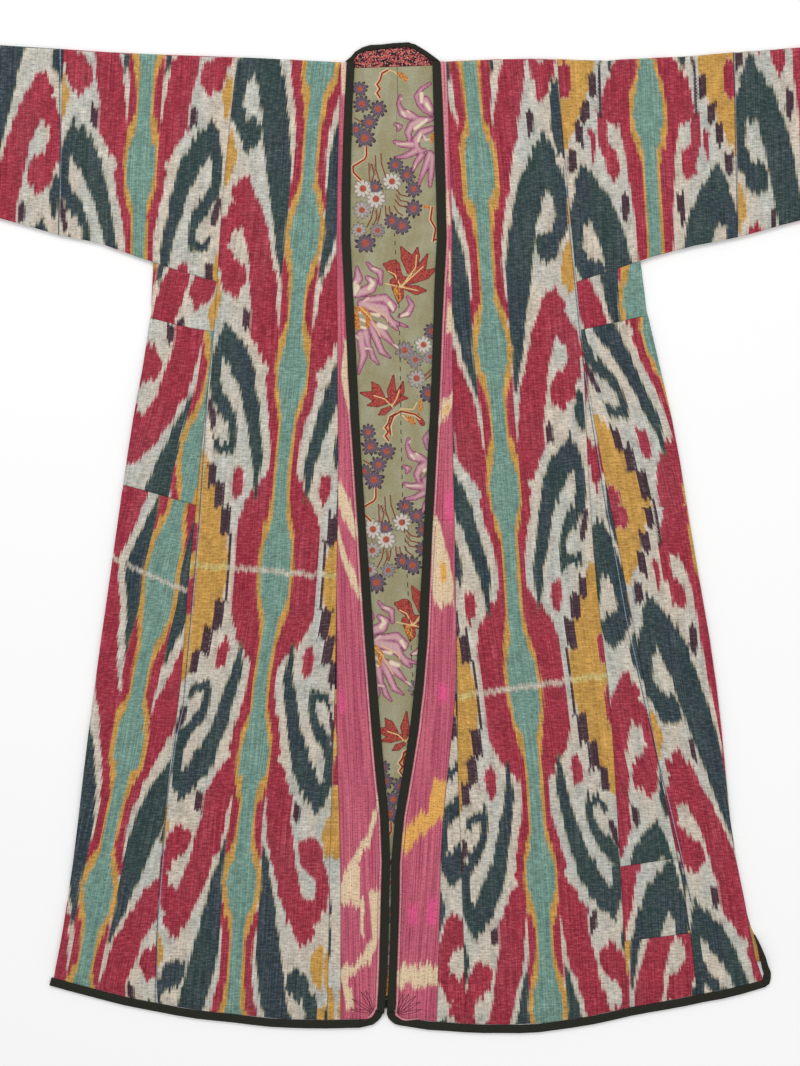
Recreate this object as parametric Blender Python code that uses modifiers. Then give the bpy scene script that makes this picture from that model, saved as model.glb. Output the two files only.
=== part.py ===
"""Uzbek chapan robe, laid out flat on its back with the fronts hanging open.

Every piece that a maker cuts and sews on is one object: two body lengths that go over the
shoulders, two loom widths in each sleeve, underarm gussets, gores, wedges and patches, the two
facing bands, the back lining and neck facing where they show, and the braid round every edge.
Lengths in the tables are millimetres; +X is the robe's own right as seen from above, +Y runs to
the neck and +Z is up from the surface it lies on. The origin is under the middle of its box.
"""
import math

import bmesh
import bpy
from mathutils import Vector

for old in list(bpy.data.objects):
    bpy.data.objects.remove(old, do_unlink=True)

MM = 0.001              # metres in a millimetre
WALL = 2.5              # quilted cloth: outer cloth, thin wadding and lining sewn together
LINING_WALL = 1.0       # one thickness of printed cotton
BRAID_WALL = 3.0        # woven braid, folded round the cloth's edge
GAP = 0.3               # clearance at every seam and between layers
BRAID_WIDTH = 10.0      # braid showing along the hem
SLEEVE_REACH = 800.0    # middle of the robe to the end of a sleeve
BACK_INSET = 1.5        # the back's edges lie this far inside the front's
BACK_SHORTER = 25.0     # the back's hem lies this far above the front's
CENTRE_BACK = -4.0      # seam between the two body lengths
SMALL_SLEEVE_STEPS = 4  # columns of faces in an inner sleeve piece
LONG_SLEEVE_STEPS = 5   # and in an outer one
FOLD_STEPS = 5          # faces round a folded edge
TURN_SHARE = 0.03       # share of a piece's length that gives the way it turns over
TURN_CLEAR = 1.0        # rows keep this far back from where the fold starts

BACK_MID = WALL / 2
LINING_MID = WALL + GAP + LINING_WALL / 2
FRONT_UNDER = WALL + GAP + LINING_WALL + GAP
SEAM_DIP = LINING_WALL + GAP    # the front comes down to the back along a side seam
SEAM_DIP_REACH = 15.0
HEM_UNDER = 0.3                 # and down to the surface past the back's hem
HEM_DROP_START = 13.5
HEM_DROP_END = 24.5

# Where each lengthways seam of the front lies: a row for each height, a column for each seam.
SEAM_COLUMNS = (
    "height", "side_left", "main_left", "strip_left", "band_left", "braid_left", "edge_left",
    "edge_right", "braid_right", "band_right", "strip_right", "gore_a", "gore_b", "side_right")
SEAM_ROWS = (
    (595, -309, -203, -74, -74, -66, -56, 40, 50, 58, 58, 196, 196, 300),
    (511, -309, -212, -76, -76, -70, -60, 42, 54, 61, 61, 202, 202, 300),
    (442, -309, -219, -78, -78, -72, -61, 44, 56, 63, 63, 208, 208, 300),
    (380, -309, -224, -79, -79, -73, -62, 46, 58, 65, 65, 214, 214, 300),
    (313, -309, -228, -79, -79, -70, -59, 43, 55, 65, 65, 220, 220, 303),
    (252, -314, -232, -78, -78, -67, -56, 41, 52, 65, 65, 226, 226, 314),
    (167, -329, -241, -78, -78, -63, -52, 38, 49, 66, 66, 231, 238, 334),
    (92, -341, -249, -77, -77, -58, -48, 34, 45, 66, 66, 234, 251, 349),
    (16, -352, -256, -78, -78, -53, -43, 30, 41, 68, 68, 239, 266, 361),
    (-83, -366, -266, -79.3, -79, -47, -36, 25, 36, 69, 69.4, 247, 285, 378),
    (-183, -380, -273, -81, -79, -40, -29, 19, 30, 70, 71.5, 259, 304, 394),
    (-283, -393, -286, -84, -78, -32, -21, 6, 17, 61, 72, 267, 321, 405),
    (-385, -405, -296, -87, -75, -23, -12.5, -9.5, 1.5, 52, 75.5, 273, 342, 416),
    (-458, -415, -302, -88, -74, -24, -13.5, -11.5, -1, 50, 78, 277, 356, 430),
    (-533, -428, -303, -89.5, -74, -25.5, -15, -13.5, -3.5, 48, 80, 281, 366, 444),
    (-608, -444, -302, -91, -74, -29, -20, -17, -6, 46, 82.5, 284, 373.5, 459))

# Edges that run across the robe, as x and height.
SHOULDER_LEFT = ((-800, 624.5), (-500, 609), (-420, 604), (-350, 599.5), (-204, 594), (-72, 587.5))
SHOULDER_RIGHT = (
    (57, 588.5), (160, 592), (197, 591.5), (265, 590), (296, 592), (360, 595.5), (411, 600),
    (500, 606), (800, 620))
SLEEVE_SEAM_LEFT = (
    (-800, 475.5), (-500, 393), (-465, 383.5), (-426, 372), (-391, 366), (-347, 351.5),
    (-309, 338), (-228, 313))
SLEEVE_SEAM_RIGHT = ((220, 313), (300, 339.5), (341, 353), (408, 369), (500, 390.5), (800, 463.5))
GUSSET_FOOT_LEFT = ((-312, 268.5), (-239, 252), (-225, 251))
GUSSET_FOOT_RIGHT = ((220, 252), (309, 271.5))
GORE_CROSS_SEAM = ((-350, 61.5), (-294, 46), (-250, 33))
PATCH_SEAM_UPPER = ((273, -416.5), (345, -405.5))
PATCH_SEAM_LOWER = ((278, -509.5), (367, -498.5))
BAND_JOIN = 16.0                # height of the cross seam in the right band
CROSS_SEAM_LEFT = ((372, -426), (604, -420))    # across each sleeve, as height and x
CROSS_SEAM_RIGHT = ((369, 409), (600, 411))
SLEEVE_FOOT = 313.0             # heights at which the pieces end, near the main seams
GUSSET_FOOT = 251.0
GORE_TOP = 256.0
GORE_JOIN = 42.0
WEDGE_TOP = 226.0
STRIP_TOPS = (-195.0, -200.0)
BAND_TOPS = (587.0, 588.0)
BRAID_TOPS = (588.3, 588.6)
SIDE_TOP = 338                  # the side seams, below the sleeves
SIDE_FOOT = -566
PATCH_HEIGHTS = (-505.0, -411.0)
HEM = (
    (-445, -563), (-386, -579), (-310, -596.5), (-207, -611.5), (-119, -618.5), (-50, -618),
    (37, -620.5), (124, -624.5), (210, -618.5), (296, -601.5), (382, -585.3), (446, -568.6),
    (464, -559.5))
CORNER_LEFT = ((-61, -618.1), (-41, -615.8), (-28, -609.5), (-21.5, -600))
CORNER_RIGHT = ((-16.5, -600), (-12, -608.5), (0, -615))
VENT_CORNER = ((455.5, -567.4), (463.2, -556), (459.5, -540), (452, -519), (443, -501))
HEM_STEP = 23
HEM_RUN_LEFT = (-438, -80)      # between the corners, along the front's hem
HEM_RUN_RIGHT = (35, 445)
HEM_RUN_BACK = (-430, 441)
BAND_FOOT_LEFT = ((-76, -607.6), (-60, -606.8), (-43, -604.2), (-35, -600.3), (-28.5, -591.5))
BAND_FOOT_RIGHT = ((-7, -593.8), (-5, -599.2), (3, -604), (20, -607.3), (38, -609.7), (50, -610.4))
BRAID_FOOT_LEFT = ((-30, -593.6), (-20, -600.3))
BRAID_FOOT_RIGHT = ((-17, -599.5), (-6, -593.8))
VENT_WIDTHS = ((0.0, 10.0), (0.8, 10.0), (0.84, 10.0), (0.91, 9.0), (1.0, 1.5))
NECK_COLUMNS = ("outer_x", "outer_y", "inner_x", "inner_y")
NECK_RIBS = (
    (-68.5, 588.8, -58.5, 588.8),
    (-61.5, 594.5, -56, 594),
    (-47, 606.5, -49, 599.5),
    (-24, 610, -30, 603.3),
    (4, 612.5, 2, 606.5),
    (14, 611.5, 13, 605.5),
    (24.5, 607, 22, 602),
    (41, 596, 34, 593.5),
    (49.5, 589.3, 40, 589.0))
NECK_ENDS = (-58.2, 39.7)       # the back's neck edge, under the ends of the neck braid
NECK_START = ((-72, 587.2), (-58.2, 588.4))
NECK_FINISH = ((39.7, 588.4), (57, 588.2))
FACING_FOOT = ((-90, 579.5), (80, 585))
FACING_ENDS = (-57.8, 39.3)
LINING_FOOT = -578.0
LINING_TUCK = 8.0               # the lining runs this far under each front braid
PLEAT_EDGES = (-21.0, -3.0)     # the box pleat sewn into the lining at the neck
PLEAT_RISE = 0.8
PLEAT_RUN = 1.5
PLEAT_END = 380.0
PLEAT_FADE = 120.0
PLEAT_COLUMNS_END = -300.0
LINING_ROWS = 26

# Folds of the front layer: middle, half length, half width, direction from +X, and height.
FOLD_COLUMNS = ("x", "y", "half_length", "half_width", "direction", "height")
SOFT_FOLDS = (
    (-560, 490, 110, 34, 78, 1.3),
    (-330, 430, 90, 30, 60, 1.1),
    (-150, 330, 150, 36, 83, 0.9),
    (-132, -315, 70, 32, 4, 1.2),
    (-235, -60, 210, 34, 82, 1.2),
    (-200, -480, 110, 34, 76, 1.3),
    (150, 300, 160, 36, 97, 0.9),
    (310, 385, 80, 30, 152, 1.2),
    (560, 500, 110, 34, 104, 1.3),
    (150, -210, 200, 36, 92, 1.1),
    (345, -330, 170, 34, 101, 1.3),
    (170, -530, 90, 34, 96, 1.3))

CRIMSON = (0.41, 0.030, 0.065)
NAVY = (0.024, 0.055, 0.075)
TEAL = (0.16, 0.37, 0.30)
IVORY = (0.60, 0.54, 0.46)
PINK = (0.50, 0.070, 0.17)
BRAID_BLACK = (0.020, 0.016, 0.014)
OLIVE = (0.30, 0.30, 0.18)
BRICK = (0.45, 0.10, 0.09)

robe = bpy.data.collections.new("uzbek_chapan_robe")
bpy.context.scene.collection.children.link(robe)


def smooth_step(t):
    t = min(1.0, max(0.0, t))
    return t * t * (3 - 2 * t)


def curve_through(points):
    """A smooth function of the first value of each point, flat beyond both ends."""
    xs = [p[0] for p in points]
    ys = [p[1] for p in points]
    last = len(xs) - 1
    rise = [(ys[i + 1] - ys[i]) / (xs[i + 1] - xs[i]) for i in range(last)]
    slopes = [rise[0]] + [(rise[i - 1] + rise[i]) / 2 for i in range(1, last)] + [rise[-1]]

    def value(x):
        if x <= xs[0]:
            return ys[0]
        if x >= xs[last]:
            return ys[last]
        i = max(k for k in range(last) if xs[k] <= x)
        span = xs[i + 1] - xs[i]
        t = (x - xs[i]) / span
        start = ys[i] + span * slopes[i] * t
        end = ys[i + 1] - span * slopes[i + 1] * (1 - t)
        return start + (end - start) * smooth_step(t)

    return value


def seam(name):
    """The x of a lengthways seam, as a function of height."""
    column = SEAM_COLUMNS.index(name)
    rows = sorted((row[0], row[column]) for row in SEAM_ROWS)
    return curve_through(rows)


def level(height):
    """A straight edge across the robe."""
    return lambda x: height


def shifted(line, amount):
    return lambda value: line(value) + amount


SEAMS = {name: seam(name) for name in SEAM_COLUMNS[1:]}
HEM_LINE = curve_through(HEM)
SHOULDERS = {"left": curve_through(SHOULDER_LEFT), "right": curve_through(SHOULDER_RIGHT)}
SLEEVE_SEAMS = {"left": curve_through(SLEEVE_SEAM_LEFT), "right": curve_through(SLEEVE_SEAM_RIGHT)}


def above_hem(amount):
    """A line above the hem, clear of a braid whose own foot is that much above the hem."""
    def value(x):
        slope = (HEM_LINE(x + 1) - HEM_LINE(x - 1)) / 2
        return HEM_LINE(x) + amount + BRAID_WIDTH * math.hypot(1, slope) + 2 * GAP
    return value


FRONT_FOOT = above_hem(0.0)
BACK_FOOT = above_hem(BACK_SHORTER + GAP)
HEM_PATH_LEFT = [(x, HEM_LINE(x)) for x in range(*HEM_RUN_LEFT, HEM_STEP)] + list(CORNER_LEFT)
HEM_PATH_RIGHT = list(CORNER_RIGHT) + [(x, HEM_LINE(x)) for x in range(*HEM_RUN_RIGHT, HEM_STEP)]
HEM_PATH_RIGHT += list(VENT_CORNER)

SIDE_STEP = 40
SIDE_HEIGHTS = range(SIDE_TOP, SIDE_FOOT, -SIDE_STEP)
SIDE_LEFT = [(SEAMS["side_left"](y), y) for y in SIDE_HEIGHTS]
SIDE_RIGHT = [(SEAMS["side_right"](y), y) for y in SIDE_HEIGHTS]
SEAM_EDGES = (list(SLEEVE_SEAM_LEFT[:-1]) + SIDE_LEFT, list(SLEEVE_SEAM_RIGHT[1:])[::-1] + SIDE_RIGHT)


def distance_to(path, x, y):
    """Shortest distance from a point to a path of straight runs."""
    best = math.inf
    for (ax, ay), (bx, by) in zip(path, path[1:]):
        run = (bx - ax) ** 2 + (by - ay) ** 2
        t = min(1.0, max(0.0, ((x - ax) * (bx - ax) + (y - ay) * (by - ay)) / run))
        best = min(best, math.hypot(ax + t * (bx - ax) - x, ay + t * (by - ay) - y))
    return best


def fold_height(x, y):
    """How far the soft folds lift the front layer at a place."""
    lift = 0.0
    for row in SOFT_FOLDS:
        fold = dict(zip(FOLD_COLUMNS, row))
        turn = math.radians(fold["direction"])
        east = x - fold["x"]
        north = y - fold["y"]
        along = (east * math.cos(turn) + north * math.sin(turn)) / fold["half_length"]
        across = (north * math.cos(turn) - east * math.sin(turn)) / fold["half_width"]
        lift += fold["height"] * math.exp(-along * along - across * across)
    return lift


def front_under(x, y):
    """Height of the front layer's underside."""
    edge = min(distance_to(path, x, y) for path in SEAM_EDGES)
    open_hem = distance_to(HEM, x, y)
    inward = smooth_step(edge / SEAM_DIP_REACH)
    under = FRONT_UNDER - SEAM_DIP * (1 - inward) + fold_height(x, y) * inward
    drop = 1 - smooth_step((open_hem - HEM_DROP_START) / (HEM_DROP_END - HEM_DROP_START))
    return under + (HEM_UNDER - under) * drop


def front_mid(x, y):
    return front_under(x, y) + WALL / 2


def braid_mid(x, y):
    return front_under(x, y) + BRAID_WALL / 2


def back_mid(x, y):
    return BACK_MID


def across(left, right, foot, top, low=0.0, high=1.0, reach=None):
    """Plan position on a piece: u runs from its left seam to its right one, t from foot to top.

    Rows are level at heights from low to high, and bend to the foot and top within reach of them.
    """
    reach = reach or high - low

    def place(u, t):
        row = low + (high - low) * t
        at_foot = max(0.0, 1 - (row - low) / reach)
        at_top = max(0.0, 1 - (high - row) / reach)
        y = foot(0.0) + (top(0.0) - foot(0.0)) * t
        x = 0.0
        for _ in range(5):
            x_left = left(y) + GAP / 2
            x = x_left + (right(y) - GAP / 2 - x_left) * u
            y = row + (foot(x) - low) * at_foot + (top(x) - high) * at_top
        return x, y
    return place


def add_piece(name, columns, rows, position, wall, colour, leave_out=None):
    """A grid bent into the piece's surface and thickened into its wall."""
    mesh = bpy.data.meshes.new(name)
    grid = bmesh.new()
    bmesh.ops.create_grid(grid, x_segments=columns, y_segments=rows, size=0.5)
    place = {}
    for vert in grid.verts:
        place[vert] = (round((vert.co.x + 0.5) * columns), round((vert.co.y + 0.5) * rows))
    if leave_out:
        surplus = [f for f in grid.faces if leave_out(
            min(place[v][0] for v in f.verts), min(place[v][1] for v in f.verts))]
        bmesh.ops.delete(grid, geom=surplus, context="FACES")
    for vert in grid.verts:
        vert.co = Vector(position(*place[vert])) * MM
    grid.to_mesh(mesh)
    grid.free()
    piece = bpy.data.objects.new(name, mesh)
    robe.objects.link(piece)
    solidify = piece.modifiers.new("wall", "SOLIDIFY")
    solidify.thickness = wall * MM
    solidify.offset = 0.0
    solidify.use_even_offset = True
    material = bpy.data.materials.new(name)
    material.use_nodes = True
    surface = material.node_tree.nodes["Principled BSDF"]
    surface.inputs["Base Color"].default_value = (*colour, 1.0)
    surface.inputs["Roughness"].default_value = 0.85
    surface.inputs["Metallic"].default_value = 0.0
    mesh.materials.append(material)
    return piece


def shares(count, edge_steps=(), length=1.0):
    """Fractions from 0 to 1: a few close steps near the edge, then equal ones."""
    close = [step / length for step in edge_steps]
    start = close[-1] if close else 0.0
    return close[:-1] + [start + (1 - start) * k / count for k in range(count + 1)]


def flat_piece(name, plan, us, ts, mid, wall, colour):
    """A piece in one layer."""
    def position(i, j):
        x, y = plan(us[i], ts[j])
        return x, y, mid(x, y)
    return add_piece(name, len(us) - 1, len(ts) - 1, position, wall, colour)


def folded_piece(name, front, back, us, front_ts, back_ts, colour, extra_us=()):
    """A piece whose front turns over at t = 1 and runs back underneath, with its fold.

    extra_us are further columns, past u = 1, which only the back has.
    """
    turn_row = len(front_ts) - 1
    back_row = turn_row + FOLD_STEPS
    all_us = list(us) + list(extra_us)

    def turn(u):
        """Middle of the fold's half circle, its radius, and the way it faces."""
        tip = Vector(front(u, 1.0))
        way = (tip - Vector(front(u, 1.0 - TURN_SHARE))).normalized()
        radius = (front_mid(*tip) - BACK_MID) / 2
        return tip - way * (radius + WALL / 2), radius, way

    def position(i, j):
        u = all_us[i]
        if i >= len(us):
            x, y = back(u, 1 - back_ts[max(0, j - back_row)])
            return x, y, BACK_MID
        middle, radius, way = turn(u)
        if j < turn_row:
            x, y = front(u, front_ts[j])
            if (Vector((x, y)) - middle).dot(way) > -TURN_CLEAR:
                x, y = middle - way * TURN_CLEAR
            return x, y, front_mid(x, y)
        if j <= back_row:
            angle = math.pi * (j - turn_row) / FOLD_STEPS
            x, y = middle + way * (radius * math.sin(angle))
            return x, y, BACK_MID + radius * (1 + math.cos(angle))
        x, y = back(u, 1 - back_ts[j - back_row])
        return x, y, BACK_MID

    def leave_out(i, j):
        return i >= len(us) - 1 and j < back_row

    rows = back_row + len(back_ts) - 1
    return add_piece(name, len(all_us) - 1, rows, position, WALL, colour, leave_out)


def path_piece(name, path, widths, mid, wall, colour):
    """Braid along a path, its width to the left of the way the path runs."""
    lengths = [0.0]
    for (ax, ay), (bx, by) in zip(path, path[1:]):
        lengths.append(lengths[-1] + math.hypot(bx - ax, by - ay))
    east = curve_through([(run, p[0]) for run, p in zip(lengths, path)])
    north = curve_through([(run, p[1]) for run, p in zip(lengths, path)])
    width_at = curve_through(widths)
    total = lengths[-1]
    reach = 2.0
    runs = [0.0]
    for start, end in zip(lengths, lengths[1:]):
        count = 1 if end - start >= HEM_STEP else 2
        runs += [start + (end - start) * (k + 1) / count for k in range(count)]

    def position(i, j):
        run = runs[i]
        ahead = Vector((east(run + reach), north(run + reach)))
        behind = Vector((east(run - reach), north(run - reach)))
        way = (ahead - behind).normalized()
        inward = Vector((-way.y, way.x)) * width_at(run / total) * j
        x = east(run) + inward.x
        y = north(run) + inward.y
        return x, y, mid(x, y)

    return add_piece(name, len(runs) - 1, 1, position, wall, colour)


HEM_STEPS = (0, 3.5, 7, 10.5, 14, 24)
EDGE_STEPS = (0, 4, 9, 15)
NECK_LINES = [curve_through([(k, row[c]) for k, row in enumerate(NECK_RIBS)]) for c in range(4)]
NECK_STEPS = 2 * (len(NECK_RIBS) - 1)
NECK_INNER = []
for k in range(1, NECK_STEPS):
    clear = GAP if 2 * k < NECK_STEPS else -GAP
    NECK_INNER.append((NECK_LINES[2](k / 2) + clear, NECK_LINES[3](k / 2) - GAP))
NECK_EDGE = [*NECK_START, *NECK_INNER, *NECK_FINISH]
CENTRE_CLEAR = 3.0
NECK_LEFT = [NECK_ENDS[0]] + [x for x, y in NECK_INNER if x < CENTRE_BACK - CENTRE_CLEAR]
NECK_LEFT += [CENTRE_BACK]
NECK_RIGHT = [NECK_ENDS[1]]
NECK_RIGHT += [x for x, y in reversed(NECK_INNER) if x > CENTRE_BACK + CENTRE_CLEAR]
NECK_RIGHT += [CENTRE_BACK]
FACING_MARKS = [FACING_ENDS[0]] + [x for x, y in NECK_INNER] + [FACING_ENDS[1]]
ROBE_FOOT = -606.0
ROBE_TOP = 590.0
ROW_BEND = 100.0
BACK_LOW = ROBE_FOOT + BACK_SHORTER
BODY_COLUMNS = shares(4)
LOWER_ROWS = (-550.0, PATCH_HEIGHTS[0], -458.0)
UPPER_ROWS = 18
ROW_CLEAR = 2.0         # a row this near a piece's end is left out
ROW_HEIGHTS = [ROBE_FOOT + step for step in HEM_STEPS] + list(LOWER_ROWS)
ROW_HEIGHTS += [
    PATCH_HEIGHTS[1] + (ROBE_TOP - PATCH_HEIGHTS[1]) * k / UPPER_ROWS for k in range(UPPER_ROWS + 1)]
BODY_ROWS = [(height - ROBE_FOOT) / (ROBE_TOP - ROBE_FOOT) for height in ROW_HEIGHTS]


def rows_between(low, high):
    """The body's row heights that fall between two heights, as fractions of that stretch."""
    inner = [h for h in ROW_HEIGHTS if low + ROW_CLEAR < h < high - ROW_CLEAR]
    return [0.0] + [(h - low) / (high - low) for h in inner] + [1.0]


def make_body(name, side, outer, inner, flip, colour):
    """One loom width from the front hem over the shoulder to the back hem.

    The back half is wider: it runs on to the centre back seam and up to the neck edge.
    """
    shoulder = SHOULDERS[side]
    rails = (SEAMS[inner], SEAMS[outer]) if flip else (SEAMS[outer], SEAMS[inner])
    front = across(rails[0], rails[1], FRONT_FOOT, shoulder, ROBE_FOOT, ROBE_TOP, ROW_BEND)
    neck = curve_through(NECK_EDGE)
    inner_rail = SEAMS["band_left" if side == "left" else "band_right"]
    centre = level(CENTRE_BACK)

    def back_top(x):
        past_neck = x > NECK_START[0][0] if side == "left" else x < NECK_FINISH[1][0]
        return neck(x) if past_neck else shoulder(x)

    span = (BACK_LOW, ROBE_TOP, ROW_BEND)
    back_main = across(SEAMS[outer], inner_rail, BACK_FOOT, shoulder, *span)
    if flip:
        back_main = across(inner_rail, SEAMS[outer], BACK_FOOT, shoulder, *span)
        back_neck = across(centre, inner_rail, BACK_FOOT, back_top, *span)
    else:
        back_neck = across(inner_rail, centre, BACK_FOOT, back_top, *span)

    def plan_front(u, t):
        return front(1 - u, t) if flip else front(u, t)

    def plan_back(u, t):
        if u <= 1:
            x, y = back_main(1 - u, t) if flip else back_main(u, t)
            return x, y
        return back_neck(2 - u, t) if flip else back_neck(u - 1, t)

    seam_x = inner_rail(ROBE_TOP)
    marks = NECK_LEFT if side == "left" else NECK_RIGHT
    neck_columns = [1 + (x - seam_x) / (CENTRE_BACK - seam_x) for x in marks]
    return folded_piece(
        name, plan_front, plan_back, BODY_COLUMNS, BODY_ROWS,
        rows_between(BACK_LOW, ROBE_TOP), colour, neck_columns)


def make_sleeve(name, side, left, right, colour, columns):
    """One loom width of a sleeve, from its lower seam over the fold and back."""
    foot = SLEEVE_SEAMS[side]
    front = across(left, right, shifted(foot, GAP / 2), SHOULDERS[side])
    back = across(left, right, shifted(foot, GAP / 2 + BACK_INSET), SHOULDERS[side])
    depth = ROBE_TOP - SLEEVE_FOOT
    edge = [step / depth for step in EDGE_STEPS]
    rows = rows_between(SLEEVE_FOOT, ROBE_TOP)
    return folded_piece(
        name, front, back, shares(columns), edge + rows[1:], rows, colour)


def make_gusset(name, side, seam_name, colour):
    """Underarm square folded round the side, from main seam to main seam."""
    top = shifted(SLEEVE_SEAMS[side], -GAP / 2)
    foot = shifted(curve_through(GUSSET_FOOT_LEFT if side == "left" else GUSSET_FOOT_RIGHT), GAP / 2)
    edge = SEAMS["side_" + side]
    flat = across(edge, SEAMS[seam_name], foot, top)
    if side == "right":
        flat = across(SEAMS[seam_name], edge, foot, top)

    def front(u, t):
        return flat(1 - t, 1 - u) if side == "left" else flat(t, u)

    us = rows_between(GUSSET_FOOT, SLEEVE_FOOT)
    if side == "left":
        us = [1 - u for u in reversed(us)]
    return folded_piece(name, front, front, us, shares(3), shares(2), colour)


def make_pieces():
    make_body("body_left", "left", "main_left", "strip_left", False, CRIMSON)
    make_body("body_right", "right", "gore_a", "strip_right", True, NAVY)

    cross_left = curve_through(CROSS_SEAM_LEFT)
    cross_right = curve_through(CROSS_SEAM_RIGHT)
    cuff_left = level(-SLEEVE_REACH - GAP / 2)
    cuff_right = level(SLEEVE_REACH + GAP / 2)
    small = SMALL_SLEEVE_STEPS
    long = LONG_SLEEVE_STEPS
    make_sleeve("sleeve_left_inner", "left", cross_left, SEAMS["main_left"], TEAL, small)
    make_sleeve("sleeve_left_outer", "left", cuff_left, cross_left, CRIMSON, long)
    make_sleeve("sleeve_right_inner", "right", SEAMS["gore_a"], cross_right, TEAL, small)
    make_sleeve("sleeve_right_outer", "right", cross_right, cuff_right, NAVY, long)
    make_gusset("gusset_left", "left", "main_left", CRIMSON)
    make_gusset("gusset_right", "right", "gore_a", IVORY)

    def front_piece(name, left, right, foot, top, us, low, high, colour):
        reach = min(ROW_BEND, high - low)
        plan = across(SEAMS[left], SEAMS[right], foot, top, low, high, reach)
        flat_piece(name, plan, us, rows_between(low, high), front_mid, WALL, colour)

    gusset_foot = {
        "left": shifted(curve_through(GUSSET_FOOT_LEFT), -GAP / 2),
        "right": shifted(curve_through(GUSSET_FOOT_RIGHT), -GAP / 2)}
    cross = curve_through(GORE_CROSS_SEAM)
    patch_top = curve_through(PATCH_SEAM_UPPER)
    patch_mid = curve_through(PATCH_SEAM_LOWER)
    from_left = shares(3, EDGE_STEPS, 100.0)
    from_right = [1 - u for u in reversed(from_left)]
    front_piece(
        "gore_left_upper", "side_left", "main_left", shifted(cross, GAP / 2),
        gusset_foot["left"], from_left, GORE_JOIN, GORE_TOP, TEAL)
    front_piece(
        "gore_left_lower", "side_left", "main_left", FRONT_FOOT, shifted(cross, -GAP / 2),
        from_left, ROBE_FOOT, GORE_JOIN, CRIMSON)
    front_piece(
        "gore_right", "gore_b", "side_right", FRONT_FOOT, gusset_foot["right"],
        from_right, ROBE_FOOT, GORE_TOP, NAVY)
    front_piece(
        "wedge_right", "gore_a", "gore_b", shifted(patch_top, GAP / 2), level(WEDGE_TOP),
        shares(2), PATCH_HEIGHTS[1], WEDGE_TOP, IVORY)
    front_piece(
        "wedge_patch_upper", "gore_a", "gore_b", shifted(patch_mid, GAP / 2),
        shifted(patch_top, -GAP / 2), shares(2), *PATCH_HEIGHTS, NAVY)
    front_piece(
        "wedge_patch_lower", "gore_a", "gore_b", FRONT_FOOT, shifted(patch_mid, -GAP / 2),
        shares(2), ROBE_FOOT, PATCH_HEIGHTS[0], CRIMSON)
    front_piece(
        "front_strip_left", "strip_left", "band_left", FRONT_FOOT, level(STRIP_TOPS[0]),
        shares(1), ROBE_FOOT, STRIP_TOPS[0], IVORY)
    front_piece(
        "front_strip_right", "band_right", "strip_right", FRONT_FOOT, level(STRIP_TOPS[1]),
        shares(1), ROBE_FOOT, STRIP_TOPS[1], NAVY)
    front_piece(
        "band_left", "band_left", "braid_left", curve_through(BAND_FOOT_LEFT), level(BAND_TOPS[0]),
        shares(2), ROBE_FOOT, ROBE_TOP, PINK)
    front_piece(
        "band_right_upper", "braid_right", "band_right", level(BAND_JOIN + GAP / 2), level(BAND_TOPS[1]),
        shares(2), BAND_JOIN, ROBE_TOP, PINK)
    front_piece(
        "band_right_lower", "braid_right", "band_right", curve_through(BAND_FOOT_RIGHT),
        level(BAND_JOIN - GAP / 2), shares(2), ROBE_FOOT, BAND_JOIN, PINK)

    make_back()
    make_lining()
    make_braid()


def make_back():
    """The back's gores, one on each side, flat on the surface."""
    inset_left = shifted(SEAMS["side_left"], BACK_INSET)
    inset_right = shifted(SEAMS["side_right"], -BACK_INSET)
    foot_left = shifted(curve_through(GUSSET_FOOT_LEFT), -GAP / 2)
    foot_right = shifted(curve_through(GUSSET_FOOT_RIGHT), -GAP / 2)
    span = (BACK_LOW, GORE_TOP, ROW_BEND)
    left = across(inset_left, SEAMS["main_left"], BACK_FOOT, foot_left, *span)
    right = across(SEAMS["gore_a"], inset_right, BACK_FOOT, foot_right, *span)
    rows = rows_between(BACK_LOW, GORE_TOP)
    flat_piece("gore_back_left", left, shares(2), rows, back_mid, WALL, CRIMSON)
    flat_piece("gore_back_right", right, shares(2), rows, back_mid, WALL, CRIMSON)


def make_lining():
    """Printed lining of the back and the neck facing, where the open fronts show them."""
    left = shifted(SEAMS["braid_left"], -LINING_TUCK)
    right = shifted(SEAMS["braid_right"], LINING_TUCK)
    facing_foot = curve_through(FACING_FOOT)
    pleat_left, pleat_right = PLEAT_EDGES
    marks = (pleat_left - PLEAT_RUN, pleat_left, pleat_right, pleat_right + PLEAT_RUN)
    columns = len(marks) + 3
    top = shifted(facing_foot, -GAP)
    ts = shares(LINING_ROWS)

    def lining_mid(x, y):
        raised = pleat_left - PLEAT_RUN / 2 < x < pleat_right + PLEAT_RUN / 2
        fade = smooth_step((y - PLEAT_END) / PLEAT_FADE)
        return LINING_MID + (PLEAT_RISE * fade if raised else 0.0)

    def position(i, j):
        y = LINING_FOOT + (top(0.0) - LINING_FOOT) * ts[j]
        start = left(y)
        end = right(y)
        xs = [start, (start + marks[0]) / 2, *marks, (marks[-1] + end) / 2, end]
        x = xs[i]
        if y < PLEAT_COLUMNS_END:
            x = start + (end - start) * i / columns
        y = LINING_FOOT + (top(x) - LINING_FOOT) * ts[j]
        return x, y, lining_mid(x, y)

    add_piece("lining_back", columns, len(ts) - 1, position, LINING_WALL, OLIVE)

    neck = shifted(curve_through(NECK_EDGE), -GAP)
    start, end = FACING_ENDS
    facing = across(level(start - GAP / 2), level(end + GAP / 2), facing_foot, neck)
    us = [(x - start) / (end - start) for x in FACING_MARKS]
    flat_piece("facing_neck", facing, us, shares(2), lambda x, y: LINING_MID, LINING_WALL, BRICK)


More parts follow.
